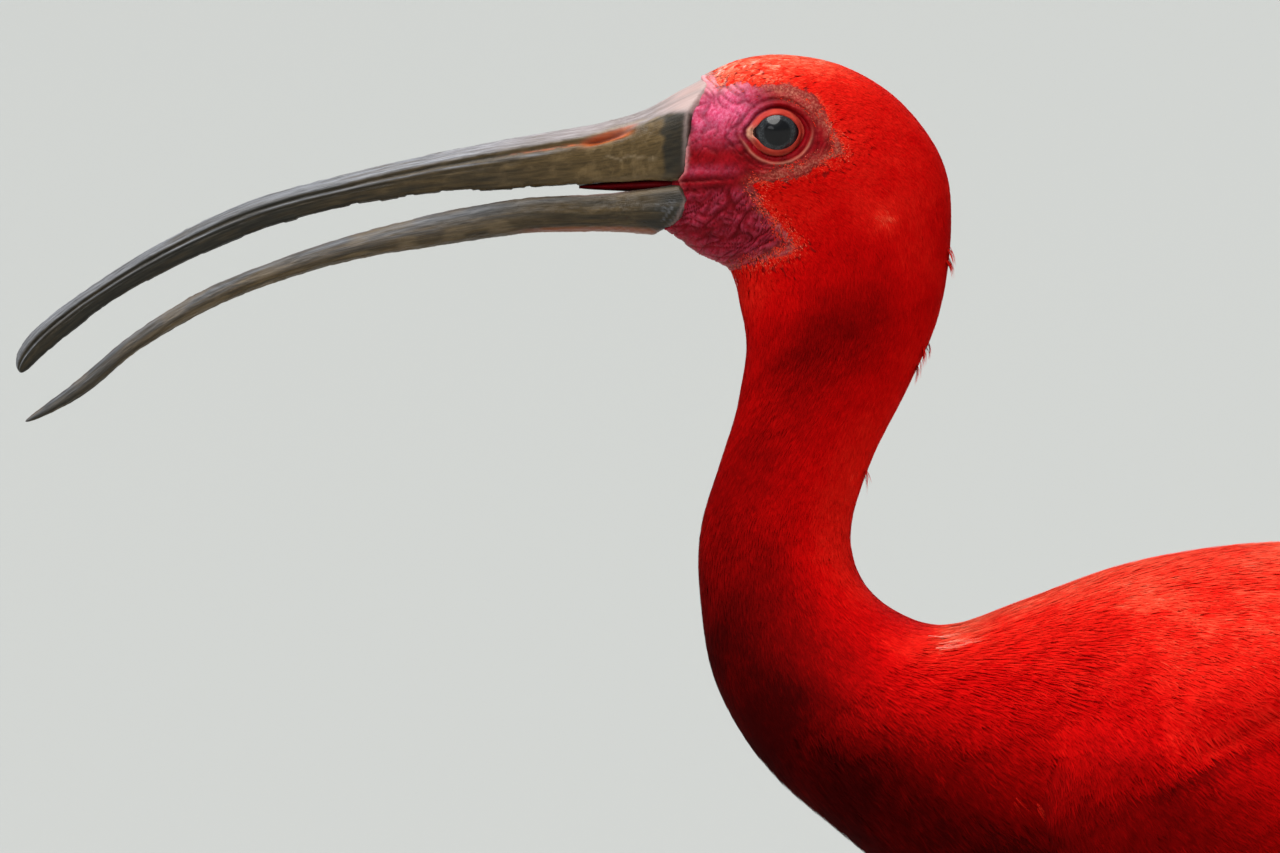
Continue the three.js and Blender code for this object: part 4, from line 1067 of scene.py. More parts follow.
# Whitish strands where the plumage parts: at the root of the neck and before the wing.
wisps = {
    # middle x, middle z, spread along x, spread along z, count, length
    "spots": (
        (-44.5, 253.6, 2.2, 0.9, 26, 5.5),
        (-31.0, 221.0, 0.3, 0.8, 2, 5.0),
        (-26.0, 219.5, 0.3, 1.2, 4, 5.0),
    ),
    "sizes": {"width": 0.6, "depth": -0.1, "lift": 0.5, "fill": 0.12, "blades": 3},
    "napeStations": [6.28, 6.36, 7.38, 7.46, 7.68, 9.2],
    "perStation": 3,
    "napeSizes": {"width": 1.4, "depth": 0.3, "lift": 1.9, "rough": 0.15, "fill": 1.4, "blades": 5},
}


def buildWisps():
    # each spot has its strands spread by random numbers; their roots are found on the chart
    flat = np.concatenate([np.stack([x + wide * bell(n), z + high * bell(n)], -1)
                           for x, z, wide, high, n, _ in wisps["spots"]])
    t, angle = chartOf(flat[:, 0], flat[:, 1], (14.0, 1.3), (11.0, 16.5))
    length = np.concatenate([np.full(spot[4], spot[5]) for spot in wisps["spots"]])
    tone = np.where(flat[:, 0] > -40, 0.68, 0.92) + 0.03 * bell(len(flat))
    sizes = {**wisps["sizes"], "length": length}
    addTufts("pale_wisps", onBody, t, angle, sizes, tone, heading=0.5 * (angle > 0.9))
    # feather tips that stand a little off the nape
    t = np.repeat(wisps["napeStations"], wisps["perStation"])
    n = len(t)
    t = t + 0.03 * bell(n)
    angle = np.abs(0.16 * bell(n)) + 0.02
    sizes = {**wisps["napeSizes"], "length": 5.0 + dice.uniform(0, 1.5, n)}
    addTufts("nape_tips", onBody, t, angle, sizes, np.full(n, 0.6))


def buildHeadPlumage():
    # short at the edge of the face and longer with the distance from it
    t, angle, here = scatter(17000, (0.0, 6.6), seed=0.1)
    keep = (insideFace(here[:, 0], here[:, 2]) < 0.5) & (pastBill(here[:, 0], here[:, 2]) > -0.2)
    t, angle, here = t[keep], angle[keep], here[keep]
    x, z = here[:, 0], here[:, 2]
    away = -insideFace(x, z)
    n = len(t)
    grow = ease(-0.5, 9, away)
    down = fromTop(angle)
    brow = ease(3.6, 0.9, t) * ease(1.3, 0.6, down)
    # the forehead's lighter strokes are painted highlight
    tone = bodyToneWithPaintedLight(t, angle, here) + brow * (0.15 + 0.055 * bell(n))
    tone = tone + ease(2.8, 0.2, away) * (0.05 + 0.04 * bell(n))
    tone = tone + (0.16 + 0.05 * bell(n)) * hill(x, -59.0, 3.2) * hill(z, 346.5, 3.4)
    tone = tone + 0.10 * hill(x, -88, 7) * hill(z, 329, 3.5)
    heading = -0.25 * hill(down, 1.5, 0.7) * ease(1, 3, t)
    sizes = {
        "length": 1.7 + 2.4 * grow + 1.4 * ease(4, 6.5, t) - 0.3 * brow,
        "width": 0.85 + 0.65 * grow + 0.25 * brow,
        "depth": 0.36 - 0.24 * brow,
        "lift": 0.03 + 0.03 * grow,
    }
    fixed = {"rough": 0.018, "stray": 0.14, "paintedRootShade": 0.05, "fill": 1.2, "varied": 0.022, "blades": 7}
    crown = down < 0.95
    zones = {"crown_plumage": crown, "cheek_plumage_left": ~crown & (angle < pi),
             "cheek_plumage_right": ~crown & (angle >= pi)}
    for name, part in zones.items():
        some = {key: value[part] for key, value in sizes.items()}
        addTufts(name, onBody, t[part], angle[part], {**some, **fixed}, tone[part], heading=heading[part])


def buildStubble():
    # short pale bristles along the edge of the bare face and over the forehead's front
    t, angle, here = scatter(90000, (0.0, 5.0), seed=0.37)
    x, z = here[:, 0], here[:, 2]
    inside = insideFace(x, z)
    beyond, _ = eyeDistance(x, z)
    chance = hill(inside, 0.6, 1.5) * (0.25 + 0.75 * ease(-92, -82, x))
    chance = chance + 0.34 * hill(inside, 1.8, 1.2) * ease(-84, -78, x) * ease(2.6, 4.5, beyond)
    chance = chance + 0.6 * ease(371.5, 373, z) * ease(-84, -92, x)
    chance = chance * (0.7 + 0.6 * grain(x / 1.4, z / 1.4, 64))
    keep = (dice.uniform(0, 1, len(t)) < chance) & (beyond > 3.0) & (pastBill(x, z) > 0.5) & (inside > -2.5)
    t, angle, x, z = t[keep], angle[keep], x[keep], z[keep]
    tone = 0.75 + 0.04 * bell(len(t)) + 0.12 * ease(370, 373, z) * ease(-86, -92, x)
    sizes = {"length": 0.4 + 0.4 * dice.uniform(0, 1, len(t)), "width": 0.14, "depth": 0.1, "lift": 0.04,
             "rough": 0.02, "stray": 0.35, "fill": 0.8, "blades": 2, "bends": (0.0,)}
    addTufts("face_stubble", onBody, t, angle, sizes, tone)


neckZones = {"neck_plumage_upper": (5.8, 9.3), "neck_plumage_lower": (9.0, 12.6)}
# stations, angles from the top and count of tufts
bodyZones = {
    "shoulder_plumage": ((12.2, 16.4), (-1.9, 1.9), 6600),
    "breast_plumage": ((12.2, 16.4), (1.7, 4.6), 5200),
    "back_plumage": ((15.8, 20.9), (-1.3, 1.3), 3600),
    "belly_plumage": ((15.8, 20.9), (1.9, 4.4), 3600),
}


def buildNeckPlumage():
    # tufts outside the bare face that lengthen towards the body
    for k, (name, stations) in enumerate(neckZones.items()):
        t, angle, here = scatter(6500, stations, seed=0.23 + 0.2 * k)
        keep = insideFace(here[:, 0], here[:, 2]) < -0.4
        t, angle, here = t[keep], angle[keep], here[keep]
        sizes = {"length": 5.2 + 2.6 * ease(7, 12, t), "width": 1.9 + 1.2 * ease(8, 12, t), "depth": 0.6,
                 "lift": 0.03, "rough": 0.025, "stray": 0.10, "paintedRootShade": 0.05, "fill": 1.1, "varied": 0.022}
        heading = 0.25 * ease(10.5, 12.5, t) * hill(fromTop(angle), 1.6, 0.8)
        addTufts(name, onBody, t, angle, sizes, bodyToneWithPaintedLight(t, angle, here), heading=heading)


def buildBodyPlumage():
    # tufts that double in size from the root of the neck to the back, swept down over the side
    for k, (name, (stations, angles, count)) in enumerate(bodyZones.items()):
        t, angle, here = scatter(count, stations, angles, seed=0.41 + 0.13 * k)
        angle = angle % (2 * pi)
        size = ease(12, 17, t)
        sizes = {"length": 8.5 + 8.5 * size, "width": 3.0 + 3.4 * size, "depth": 1.5 + 0.5 * size,
                 "lift": 0.05, "rough": 0.05, "stray": 0.09, "fill": 1.1, "tilt": 0.02, "blades": 9}
        heading = 0.42 * hill(fromTop(angle), 1.65, 0.75) * ease(17.5, 15, t)
        addTufts(name, onBody, t, angle, sizes, bodyToneWithPaintedLight(t, angle, here), heading=heading)


# Rows of wing feathers, from the innermost: roots and tips as [station, degrees from the back], from the
# lowest feather to the highest one, then width, root height, height, rise from one to the next, sideways
# tilt and bend. tone moves the colour, and the lowest feathers of a row may have black tips.
wingRows = [
    {"count": 8, "roots": ((17.6, 110), (18.9, 98)), "tips": ((23.75, 88), (22.3, 60)), "width": 11,
     "sink": 1.9, "lift": 1.9, "rise": 0.32, "roll": 0.12, "bow": 3, "tone": -0.08,
     "blackTips": 4},  # primaries
    {"count": 11, "roots": ((17, 111), (18.6, 74)), "tips": ((19.8, 113), (21.9, 58)), "width": 14,
     "sink": 2.4, "lift": 3.4, "rise": 0.22, "roll": 0.15, "bow": 2, "tone": -0.04},  # secondaries
    {"count": 6, "roots": ((18, 68), (18, 36)), "tips": ((22.1, 60), (21.9, 24)), "width": 17,
     "sink": 3, "lift": 5.0, "rise": 0.42, "roll": 0.1, "bow": 0, "tone": 0.0},  # tertials
    {"count": 11, "roots": ((16.6, 111), (18.2, 66)), "tips": ((17.9, 115), (20.1, 62)), "width": 14,
     "sink": 1.2, "lift": 4.9, "rise": 0.18, "roll": 0.13, "bow": 1, "tone": -0.01},  # greater coverts
    {"count": 10, "roots": ((16, 109), (17.4, 60)), "tips": ((17, 116), (19.1, 58)), "width": 14,
     "sink": 0.6, "lift": 5.6, "rise": 0.12, "roll": 0.12, "bow": 1, "tone": -0.03},  # median coverts
    {"count": 7, "roots": ((17, 60), (17.5, 26)), "tips": ((19.7, 64), (20.3, 22)), "width": 17,
     "sink": -0.8, "lift": 7.2, "rise": 0.25, "roll": 0.1, "bow": 0, "tone": 0.04},  # long scapulars
    {"count": 8, "roots": ((16.1, 64), (16.9, 28)), "tips": ((18, 76), (18.9, 26)), "width": 15,
     "sink": -0.8, "lift": 7.6, "rise": 0.16, "roll": 0.1, "bow": 0, "tone": 0.05},  # scapulars
]
# Lines on the wing in the side view: its front edge on the breast and the crease along it, darkened with
# painted shade.
wingLines = {"frontX": -27.5, "frontZ": 228, "frontLean": 0.26, "creaseZ": 229.4, "creaseLean": 0.45}
# A vane's section: along the upper face from -1 to 1 with a shaft in the middle, then back along the lower
# face. Its rows stand closer towards the tip.
vaneAcross = np.array([-1, -0.8, -0.5, -0.2, -0.06, 0.06, 0.2, 0.5, 0.8, 1, 0.7, 0.25, -0.25, -0.7])
vaneUpper = np.array([0, 0.16, 0.2, 0.2, 0.42, 0.42, 0.2, 0.2, 0.16, 0, -0.16, -0.2, -0.2, -0.16])
vaneAlong = 1 - (1 - np.linspace(0, 1, 22)[:, None]) ** 1.35


def vaneOutline(s):
    # full from a third of the length on, with a rounded tip
    return (0.5 + 0.5 * np.minimum(1, s / 0.35)) * np.sqrt(np.maximum(0.002, 1 - s ** 6))


def addVanes(name, points, along, tone, black, nodes):
    # many closed blades in one mesh: points is vane x row x column x 3, and along is in cm
    count, rows, cols = points.shape[:3]
    faces, _ = tubeFaces(points[0])
    offset = (np.arange(count) * rows * cols)[:, None, None]
    faces = [(offset + f).reshape(-1, f.shape[1]) for f in faces]
    uv = stackUp(np.broadcast_to(vaneAcross, points.shape[:3]), along).reshape(-1, 2)
    addPiece(name, points, faces, vanes, {"tone": tone, "black": black},
             {"follow": [uv[f] for f in faces]}, nodes)


def onWing(t, angle, height, side):
    # the place on the folded wing's chart, mirrored to its side
    return loftPoint(wingStations, t, angle, height) * np.array([1, -side, 1])


def featherRow(row, side):
    # middle lines run from root to tip on the chart; a step across a vane is turned into steps of station
    # and angle that solve step = dt perT + da perA, and height adds lift, roll and camber
    def place(t, angle, height):
        return onWing(t, angle, height, side)

    n = row["count"]
    s, across = vaneAlong, vaneAcross
    share = np.linspace(0, 1, n)[:, None, None]
    rank = share * (n - 1)
    jitter = bell(2, n, 1, 1)
    rootT, rootA = (between(ends, share) for ends in zip(*row["roots"]))
    tipT, tipA = (between(ends, share) for ends in zip(*row["tips"]))
    tipT = tipT - 0.05 * np.abs(jitter[0])
    tipA = tipA + 0.7 * jitter[1]
    t = between((rootT, tipT), s)
    a = np.radians(between((rootA, tipA), s) + row["bow"] * np.sin(pi * s))
    here, perT, perA = tangents(place, t, a)
    ahead = place(t + 0.01 * (tipT - rootT), a + np.radians(0.01 * (tipA - rootA)), 0.0) - here
    length = np.linalg.norm(ahead, axis=-1).mean(axis=1, keepdims=True) * 100
    outDir = unit(np.cross(perT, perA) * side)
    downDir = np.cross(outDir, unit(ahead)) * side
    p, q, r, u, v = ((one * other).sum(-1) for one, other in (
        (perT, perT), (perT, perA), (perA, perA), (downDir, perT), (downDir, perA)))
    det = p * r - q * q
    half = row["width"] / 2 * vaneOutline(s) * (1 + 0.04 * grain(s * 14 + rank * 7.3, across * 0 + 3.1, 71))
    notch = 0.35 * grain(s * 26 + rank * 3.7, across * 2, 72) * np.abs(across) ** 3
    offset = across * half + notch * np.sign(across)
    tt = t + (u * r - v * q) / det * offset
    aa = a + (v * p - u * q) / det * offset
    free = row["sink"] + (row["lift"] - row["sink"]) * ease(0, 0.4, s) + row["rise"] * rank
    near = 0.25 + 0.75 * ease(18, 52, np.degrees(a))
    height = (free + row["roll"] * offset) * near + vaneUpper * (1 - 0.6 * s) - 0.10 * half * across ** 2
    # the innermost feathers dive into the plumage of the back
    points = place(tt, aa, height - 3.2 * ease(32, 19, np.degrees(aa)))
    tone = 0.40 + row["tone"] + 0.03 * bell(n, 1, 1) + 0.05 * s - 0.05 * across ** 2
    # the vanes are lighter towards the back's top: painted highlight
    tone = tone + 0.05 * (vaneUpper > 0.3) + 0.15 * ease(62, 25, np.degrees(a)) * ease(20.5, 16.5, t)
    black = ease(0.80, 0.9, s + 0.02 * grain(across * 3, rank, 73)) * (rank < row.get("blackTips", 0))
    return points, *(np.broadcast_to(values, tt.shape) for values in (s * length / 10, tone, black))


def buildWing(side, word):
    # all rows of feathers joined in one mesh
    parts = [featherRow(row, side) for row in wingRows]
    points, along, tone, black = (np.concatenate(some) for some in zip(*parts))
    addVanes("wing_vanes_" + word, points, along, tone, black, ("wing_" + word,))


def wingFront(x, z):
    # distance in mm behind the line where the folded wing's front edge lies on the breast
    return x - wingLines["frontX"] - wingLines["frontLean"] * (wingLines["frontZ"] - z)


def aboveCrease(x, z):
    # height in mm over the crease along the wing, darkened with painted shade, which rises by its lean
    return z - wingLines["creaseZ"] - wingLines["creaseLean"] * x


def buildWingPlumage(side, word):
    # soft small feathers over the fore part of the wing; the scapulars end over it in an edge.
    # Their base is a height over the loft: it rises behind the front edge and ends towards back and belly.
    def place(t, angle, height):
        degrees = np.degrees(angle)
        flat = loftPoint(wingStations, t, angle)
        x, z = flat[..., 0], flat[..., 2]
        low = ease(78, 92, degrees)
        down = low * ease(244, 226, z)
        edge = ease(-1.2, 1.8 + 18 * ease(214, 236, z), wingFront(x, z))
        base = 5.6 - 1.9 * low * ease(20, 2, wingFront(x, z))
        base = base * ((1 - down) * ease(15.0, 17.2, t) + down * edge)
        base = base - 1.3 + 1.7 * ((1 - down) * ease(14.6, 15.6, t) + down * edge)
        base = base * ease(124, 108, degrees) + 1.2 * ease(66, 52, degrees) * ease(15.6, 16.6, t)
        base = base * (0.12 + 0.88 * ease(37, 57, degrees))
        base = base + 1.7 * span(aboveCrease(x, z), -0.8, 0.9, 7.0, 16.0) * ease(-14, 2, x)
        return onWing(t, angle, height + base, side)

    t, angle, here = scatter(5600, (14.8, 18.9), (math.radians(38), math.radians(123)), place, 0.3)
    keep = dice.uniform(0, 1, len(t)) < ease(18.9, 17.6, t + 0.5 * (np.degrees(angle) - 80) / 40)
    t, angle, here = t[keep], angle[keep], here[keep]
    degrees = np.degrees(angle)
    x, z = here[:, 0], here[:, 2]
    above = aboveCrease(x, z)
    # painted shade ahead of the wing's front edge, low down and in the crease; painted highlight on the bulge
    # above it
    tone = bodyToneWithPaintedLight(np.minimum(t, 21), angle * 0.8, here) * ease(110, 60, degrees) + sum((
        0.40 * ease(60, 110, degrees),
        0.04 * grain(x / 8, z / 8, 81),
        -0.25 * ease(1.2, -2.5, wingFront(x, z)) * ease(236, 214, z),
        -0.17 * ease(240, 216, z) * ease(40, 0, x),
        -0.05 * ease(10, -6, x) * ease(240, 230, z),
        0.07 * hill(above, 3.5, 3.0),
        -0.22 * hill(above, -1.4, 1.1) * ease(-12, 0, x),
    ))
    sizes = {"length": 7.5 + 4 * ease(15, 17, t), "width": 3.4, "depth": 0.8, "lift": 0.08, "rough": 0.06,
             "paintedRootShade": 0.07, "fill": 1.1, "curl": 0.07, "varied": 0.028, "blades": 9}
    heading = 0.40 + 0.35 * hill(t, 15.2, 0.7) * ease(70, 95, degrees) - 0.25 * ease(66, 48, degrees)
    addTufts("wing_plumage_" + word, place, t, angle, sizes, tone, (0, 25), heading)


tail = {
    "root": (150.0, 203.0),
    "tip": (244.4, 168.0),
    "pairs": 6,
    "width": 14.0,
    "start": 22,
    "rootSpread": 1.3,
    "spread": 3.2,
    "step": 0.62,
    # rows of coverts: above (1) or below (-1), height at the root, at the tip, length
    "coverts": ((1, 9.0, 3.9, 62), (1, 11.5, 6.2, 44), (-1, -8.6, -5.2, 66), (-1, -11.5, -8.0, 46)),
    "covertStart": 8,
    "covertHalf": 7,
    "lean": (0.37, 0.93),
    "tufts": {"length": 14, "width": 5, "depth": 1.4, "lift": 0.8, "rough": 0.25, "fill": 0.9, "blades": 9},
}
tailLength = math.hypot(tail["tip"][0] - tail["root"][0], tail["tip"][1] - tail["root"][1])
tailSlope = math.atan2(tail["root"][1] - tail["tip"][1], tail["tip"][0] - tail["root"][0])


def tailPoint(distance, across, lift):
    # root + (tip - root) distance / length + lift square to the tail
    (rootX, rootZ), (tipX, tipZ) = tail["root"], tail["tip"]
    x = between((rootX, tipX), distance / tailLength) + lift * math.sin(tailSlope)
    z = between((rootZ, tipZ), distance / tailLength) + lift * math.cos(tailSlope)
    return stackUp(x, across, z)


def buildTail():
    # feathers in pairs that fan out and lie lower one by one, between rows of five coverts
    s, across, upper = vaneAlong, vaneAcross, vaneUpper
    rank = np.repeat(np.arange(tail["pairs"]), 2)[:, None, None]
    side = np.tile([-1.0, 1.0], tail["pairs"])[:, None, None]
    half = tail["width"] / 2 * vaneOutline(s)
    distance = between((tail["start"], tailLength - 1.1 * rank), s) + 0 * across
    middle = side * (rank + 0.5) * between((tail["rootSpread"], tail["spread"]), s)
    level = 1.9 - tail["step"] * (rank * 1.3 + 0.5 * (side < 0))
    height = level + upper * (1 - 0.5 * s) - 0.06 * half * across ** 2 - 0.03 * side * across * half
    rows = [tailPoint(distance, middle + across * half, height)]
    k = np.arange(-2, 3)[:, None, None]
    half = tail["covertHalf"]
    for sign, root, tip, length in tail["coverts"]:
        distance = between((tail["covertStart"], length - 4 * np.abs(k)), s) + 0 * across
        height = root + (tip - root) * s ** 0.8 + upper - sign * (1.1 * np.abs(k) + 0.1 * half * across ** 2)
        rows.append(tailPoint(distance, k * (3.4 + 2.4 * s) + across * half * vaneOutline(s), height))
    points = np.concatenate(rows)
    tone = 0.48 + 0.04 * bell(len(points), 1, 1) + 0.05 * s - 0.06 * across ** 2
    addVanes("tail_vanes", points, s * 8.5, tone, 0.0, ("tail",))


def buildRump():
    # a stump of down under the coverts joins the tail to the rump, and tufts cover it
    leanX, leanZ = tail["lean"]
    t, angle = ringGrid(np.linspace(0, 1, 14), 40)
    high = 13.5 * (1 - t) ** 0.8 + 1.5
    wide = 15 - 5 * t
    stump = np.stack([162.5 + 30 * t + high * leanX * np.cos(angle), wide * np.sin(angle),
                      206.5 - 12.5 * t + high * leanZ * np.cos(angle)], -1)
    addTube("tail_stump", stump, vanes, {"tone": 0.4, "black": 0.0}, followUv(t, (0, 3), (-1, 1)))

    def onRump(t, angle, height):
        # an oval round a sloping line, narrower towards the tail
        share = np.clip(t, 0, 1.3)
        high = np.maximum(14.5 - 11 * share, 3) + height
        wide = 16 - 4 * share + height
        return stackUp(158 + 32 * t + high * leanX * np.cos(angle), -wide * np.sin(angle),
                       208.3 - 13.3 * t + high * leanZ * np.cos(angle))

    t, angle, _ = scatter(1500, (-0.3, 0.75), (0, 2 * pi), onRump, 0.6)
    # darker underneath: painted shade
    tone = 0.56 - 0.16 * ease(1.0, 2.2, fromTop(angle)) + 0.03 * bell(len(t))
    addTufts("rump_plumage", onRump, t, angle, tail["tufts"], tone, (-0.4, 0.9))


# Legs, from the middle of the sole: [x, |y|, z] of each bend.
leg = {
    "standX": 44.0,
    "stride": 9.0,
    "footY": 25.0,
    "thigh": [[-12, 24, 204], [-15, 26, 172], [-5, 26, 152], [4, 25, 135], [5, 25, 129]],
    "thighWide": (15, 5.4),
    "thighDeep": (27, 6.0),
    "shank": [[3.3, 25, 139], [4, 25, 135], [7.5, 25, 113], [10.6, 25, 95], [11, 25, 91]],
    "shankHalf": (4.0, 3.5),
    "tarsus": [[0, 25, 5], [5.2, 25, 48.5], [10.4, 25, 87], [11, 25, 91], [10.6, 25, 97]],
    "tarsusHalf": 2.5,
    "ankle": [[0, 0, 0.6], [0, 0, 4], [1.0, 0, 9.5], [1.5, 0, 13]],
    # turn outwards from straight ahead in degrees, length, joints
    "toes": {"inner": (-27, 40, 3), "middle": (3, 50, 4), "outer": (34, 44, 4), "hind": (176, 20, 2)},
    "toeHeight": 2.45,
    # distance past the toe's end and height
    "claw": ((0, 2.5), (3, 2.9), (6.2, 2.2), (9, 0.9)),
    "webs": {"web_in": (-27, 3), "web_out": (3, 34)},
    # plates of the skin: how many, how deep, where their front is
    "shankScales": (9, 0.22, pi),
    "tarsusScales": (26, 0.30, pi),
    "ankleScales": (6, 0.2, pi),
    "toeScales": (5, 0.2, 0.0),
}


def smoothPath(points, share):
    # Catmull-Rom through a few points, share from 0 to 1
    table = np.asarray(points, float)
    return through(table, np.asarray(share) * (len(table) - 1))


def pathFrame(points, share, step, sideways=(0.0, 1.0, 0.0)):
    # the path's point and direction, and two directions square to it, the first one nearly sideways
    tangent = unit(smoothPath(points, share + step) - smoothPath(points, share - step))
    side = unit(sideways - tangent * (tangent @ np.asarray(sideways))[..., None])
    return smoothPath(points, share), tangent, side, np.cross(tangent, side)


def tubeAlong(points, share, around, halfSide, halfOther, *sideways):
    # rings square to a path: centre + side a sin(turn) + other b cos(turn)
    centre, _, side, other = pathFrame(points, share, 1e-3, *sideways)
    turn = np.linspace(0, 2 * pi, around, endpoint=False)
    return (centre[:, None] + (halfSide * np.sin(turn))[..., None] * side[:, None]
            + (halfOther * np.cos(turn))[..., None] * other[:, None])


def legPath(key, side):
    # the named path, set where this side's foot stands
    path = np.asarray(leg[key], float)
    path[:, 0] += leg["standX"] + leg["stride"] * side
    path[:, 1] *= side
    return path


def buildThigh(side, word):
    # rings round a bent path that taper by 3s^2 - 2s^3, carried on straight past the path's ends
    path = legPath("thigh", side)

    def place(t, angle, height):
        share = np.clip(t, 0, 1)
        centre, tangent, across, other = pathFrame(path, share, 0.01)
        wide, deep = (between(leg[key], ease(0, 1, share)) + height for key in ("thighWide", "thighDeep"))
        ring = across * (wide * np.sin(angle))[..., None] + other * (deep * np.cos(angle))[..., None]
        return centre + (t - share)[..., None] * 24 * tangent + ring

    share, turn = ringGrid(np.linspace(0.1, 0.94, 30), 48)
    addTube("thigh_skin_" + word, place(share, turn, -1.6), bareSkin, plainSkin(under=1.0),
            nodes=("thigh_" + word,))
    t, angle, here = scatter(1500, (0.15, 0.93), (0, 2 * pi), place, 0.2)
    # darker on the inner side and near the body: painted shade
    tone = 0.40 + 0.03 * bell(len(t)) - 0.05 * (here[:, 1] * side < leg["footY"]) - 0.12 * ease(0.5, 0.2, t)
    sizes = {"length": 10 - 3.5 * ease(0.5, 0.9, t), "width": 4.2 - 1.6 * ease(0.4, 0.9, t), "depth": 1.3,
             "lift": 0.1, "rough": 0.12}
    addTufts("thigh_plumage_" + word, place, t, angle, sizes, tone, (0, 1))


def scutes(share, turn, count, depth, front):
    # overlapping plates down the front: a saw tooth along the limb that fades to small scales behind
    phase = (share * count) % 1.0
    ahead = 0.5 + 0.5 * np.cos(turn - front)
    small = 0.10 * grain(share * count * 3, turn * 3.5, 91)
    return depth * (1 - phase) ** 0.6 * ahead ** 0.7 + small * (1 - ahead), hill(phase, 0.985, 0.06) * ahead


def addLimb(name, node, path, share, half, raised, scales, around=28, seamMark=0.8, sideways=(0.0, 1.0, 0.0)):
    # a tube whose two half widths have their shares of the plates added, kept above the floor
    plate, seam = scutes(share[:, None], np.linspace(0, 2 * pi, around, endpoint=False)[None], *scales)
    wide, deep = (size[:, None] + more * plate for size, more in zip(half, raised))
    points = tubeAlong(path, share, around, wide, deep, sideways)
    points[..., 2] = np.maximum(points[..., 2], 0.0)
    addTube(name, points, legSkin, {"seam": seamMark * seam}, nodes=(node,))


def buildToe(toe, foot, side, word):
    # pads are cos(2 pi joints s); the end closes in, and the claw's half width is 1.55 (1 - s)^0.75
    turn, length, joints = leg["toes"][toe]
    turn = math.radians(turn)
    ahead = np.array([-math.cos(turn), side * math.sin(turn), 0.0])
    sideways = np.array([-ahead[1], ahead[0], 0.0])
    name = toe + "_" + word
    share = np.linspace(0, 1, 90)
    path = foot + np.outer(np.linspace(0, 1, 6), ahead * (length + 1.2)) + np.array([0, 0, leg["toeHeight"]])
    pads = 0.22 * np.cos(2 * pi * joints * np.clip((share - 0.22) / 0.78, 0, 1))
    close = 1 - ease(0.965, 1.0, share) * 0.45
    half = ((2.6 * (1 - 0.28 * share) + pads) * close, 2.9 * (1 - 0.14 * share) * close)
    scales = (joints * leg["toeScales"][0], *leg["toeScales"][1:])
    addLimb("toe_skin_" + name, "toe_" + name, path, share, half, (0.3, 0.7), scales, 22, sideways=sideways)
    share = np.linspace(0, 1, 26)
    path = [foot + ahead * (length - 0.6 + out) + [0, 0, z] for out, z in leg["claw"]]
    size = (1.55 * (1 - share) ** 0.75 + 0.16)[:, None]
    points = tubeAlong(path, share, 18, size * 0.85, size, sideways)
    points[..., 2] = np.maximum(points[..., 2], 0.05)
    addTube("claw_horn_" + name, points, clawHorn, nodes=("claw_" + name,))


def buildWeb(name, foot, side, word):
    # a sheet between two toes whose reach from the foot dips between them by a cosine
    first, second = leg["webs"][name]
    s, r = np.meshgrid(np.linspace(0, 1, 24), np.linspace(0, 1, 22), indexing="ij")
    a = np.radians(between((first, second), s))
    reach = 22 - 6.5 * np.cos((s - 0.5) * pi)
    x = foot[0] - np.cos(a) * reach * r
    y = foot[1] + side * np.sin(a) * reach * r
    ripple = 0.18 * grain(r * 9, a * 14, 95)
    top = np.stack([x, y, 2.9 - 0.8 * r + ripple], -1)
    under = np.stack([x, y, 1.9 - 0.5 * r + ripple], -1)[:, ::-1]
    addTube(name + "_" + word, np.concatenate([top, under], axis=1), legSkin, {"seam": 0.0})


def buildLeg(side, word):
    # shank, tarsus with the knob of its upper joint, toes with claws, ankle pad and webs
    share = np.linspace(0.02, 1, 70)
    size = between(leg["shankHalf"], share)
    addLimb("shank_skin_" + word, "shank_" + word, legPath("shank", side), share, (size, size * 1.08),
            (0.5, 1), leg["shankScales"])
    share = np.linspace(0.0, 1, 190)
    size = leg["tarsusHalf"] + 2.0 * hill(share, 0.76, 0.07) - 0.9 * ease(0.9, 1.0, share)
    addLimb("tarsus_skin_" + word, "tarsus_" + word, legPath("tarsus", side), share, (size, size * 1.12),
            (0.5, 1), leg["tarsusScales"])
    foot = np.array([leg["standX"] + leg["stride"] * side, leg["footY"] * side, 0.0])
    for toe in leg["toes"]:
        buildToe(toe, foot, side, word)
    share = np.linspace(0, 1, 40)
    size = 3.1 + 3.0 * (1 - share) ** 1.6
    addLimb("ankle_skin_" + word, "foot_" + word, foot + np.array(leg["ankle"]), share, (size, size * 1.05),
            (1, 1), leg["ankleScales"], seamMark=0.7)
    for name in leg["webs"]:
        buildWeb(name, foot, side, word)


print("stage: skin, eyes, wings and legs")
buildSkin()
for word, side in sides.items():
    buildLids(side, word)
    buildEye(side, word)
    buildWing(side, word)
    buildWingPlumage(side, word)
    buildThigh(side, word)
    buildLeg(side, word)
print("stage: bill")
buildUpperBill()
buildLowerBill()
buildMouthLining()
print("stage: plumage")
buildHeadPlumage()
buildStubble()
buildNeckPlumage()
buildBodyPlumage()
buildWisps()
buildTail()
buildRump()

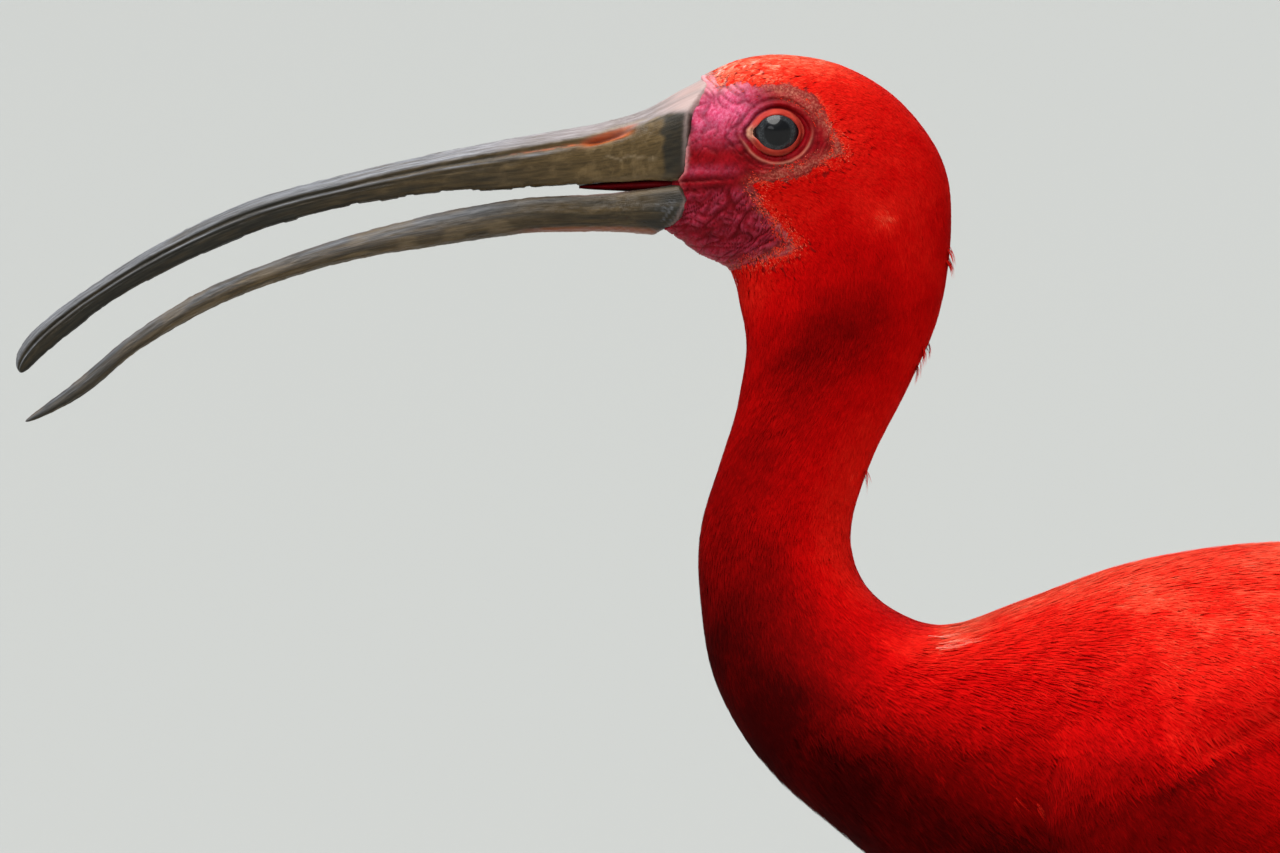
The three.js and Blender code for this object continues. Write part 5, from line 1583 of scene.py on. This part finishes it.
# A pale floor that curves up far behind, in plain soft light; sizes are in metres here.
room = {
    "flat": 6.0,
    "radius": 20.0,
    "height": 8.0,
    "color": (0.40, 0.41, 0.40),
    "skyColor": (0.86, 0.93, 1.0, 1),
    "skyStrength": 0.35,
}
# direction towards the lamp, the angle in degrees over which it is seen, power and colour
lamps = {
    "sky": ((-0.25, -0.32, 1.0), 50, 3.7, (1.0, 0.985, 0.96)),
    "front": ((-1.0, -1.3, 0.55), 30, 0.40, (0.97, 0.98, 1.0)),
    "back": ((0.4, 1.2, 1.0), 35, 0.9, (1.0, 0.98, 0.95)),
}


def buildRoom():
    # z = height (1 - sqrt(1 - s^2)) past the flat part, with s the share of the way to the rim
    r, a = ringGrid(np.concatenate([[0.001], np.linspace(0.5, room["radius"] - 0.02, 60)]), 96)
    s = np.clip((r - room["flat"]) / (room["radius"] - room["flat"]), 0, 1)
    z = room["height"] * (1 - np.sqrt(1 - s ** 2))
    points = np.stack([r * np.cos(a), r * np.sin(a), z], -1).reshape(-1, 3)
    faces = gridFaces(*r.shape)
    mesh = bpy.data.meshes.new("floor")
    mesh.from_pydata(points.tolist(), [], faces.tolist())
    mesh.polygons.foreach_set("use_smooth", np.ones(len(faces), bool))
    look = Look("floor", 0.9, 0.1)
    look.color(room["color"])
    mesh.materials.append(look.material)
    addObject("floor", mesh)


def addLamp(name, toward, spread, power, color):
    # a soft lamp in the direction toward, turned to face the origin
    data = bpy.data.lights.new(name, "SUN")
    data.angle = math.radians(spread)
    data.energy = power
    data.color = color
    lamp = addObject(name, data)
    x, y, z = toward
    lamp.location = (x * 3, y * 3, z * 3)
    lamp.rotation_euler = (math.atan2(math.hypot(x, y), z), 0, math.atan2(y, x) + pi / 2)


print("stage: room and light")
buildRoom()
for name, lamp in lamps.items():
    addLamp(name, *lamp)
world = bpy.data.worlds.new("world")
world.use_nodes = True
background = world.node_tree.nodes["Background"].inputs
background["Color"].default_value = room["skyColor"]
background["Strength"].default_value = room["skyStrength"]
bpy.context.scene.world = world
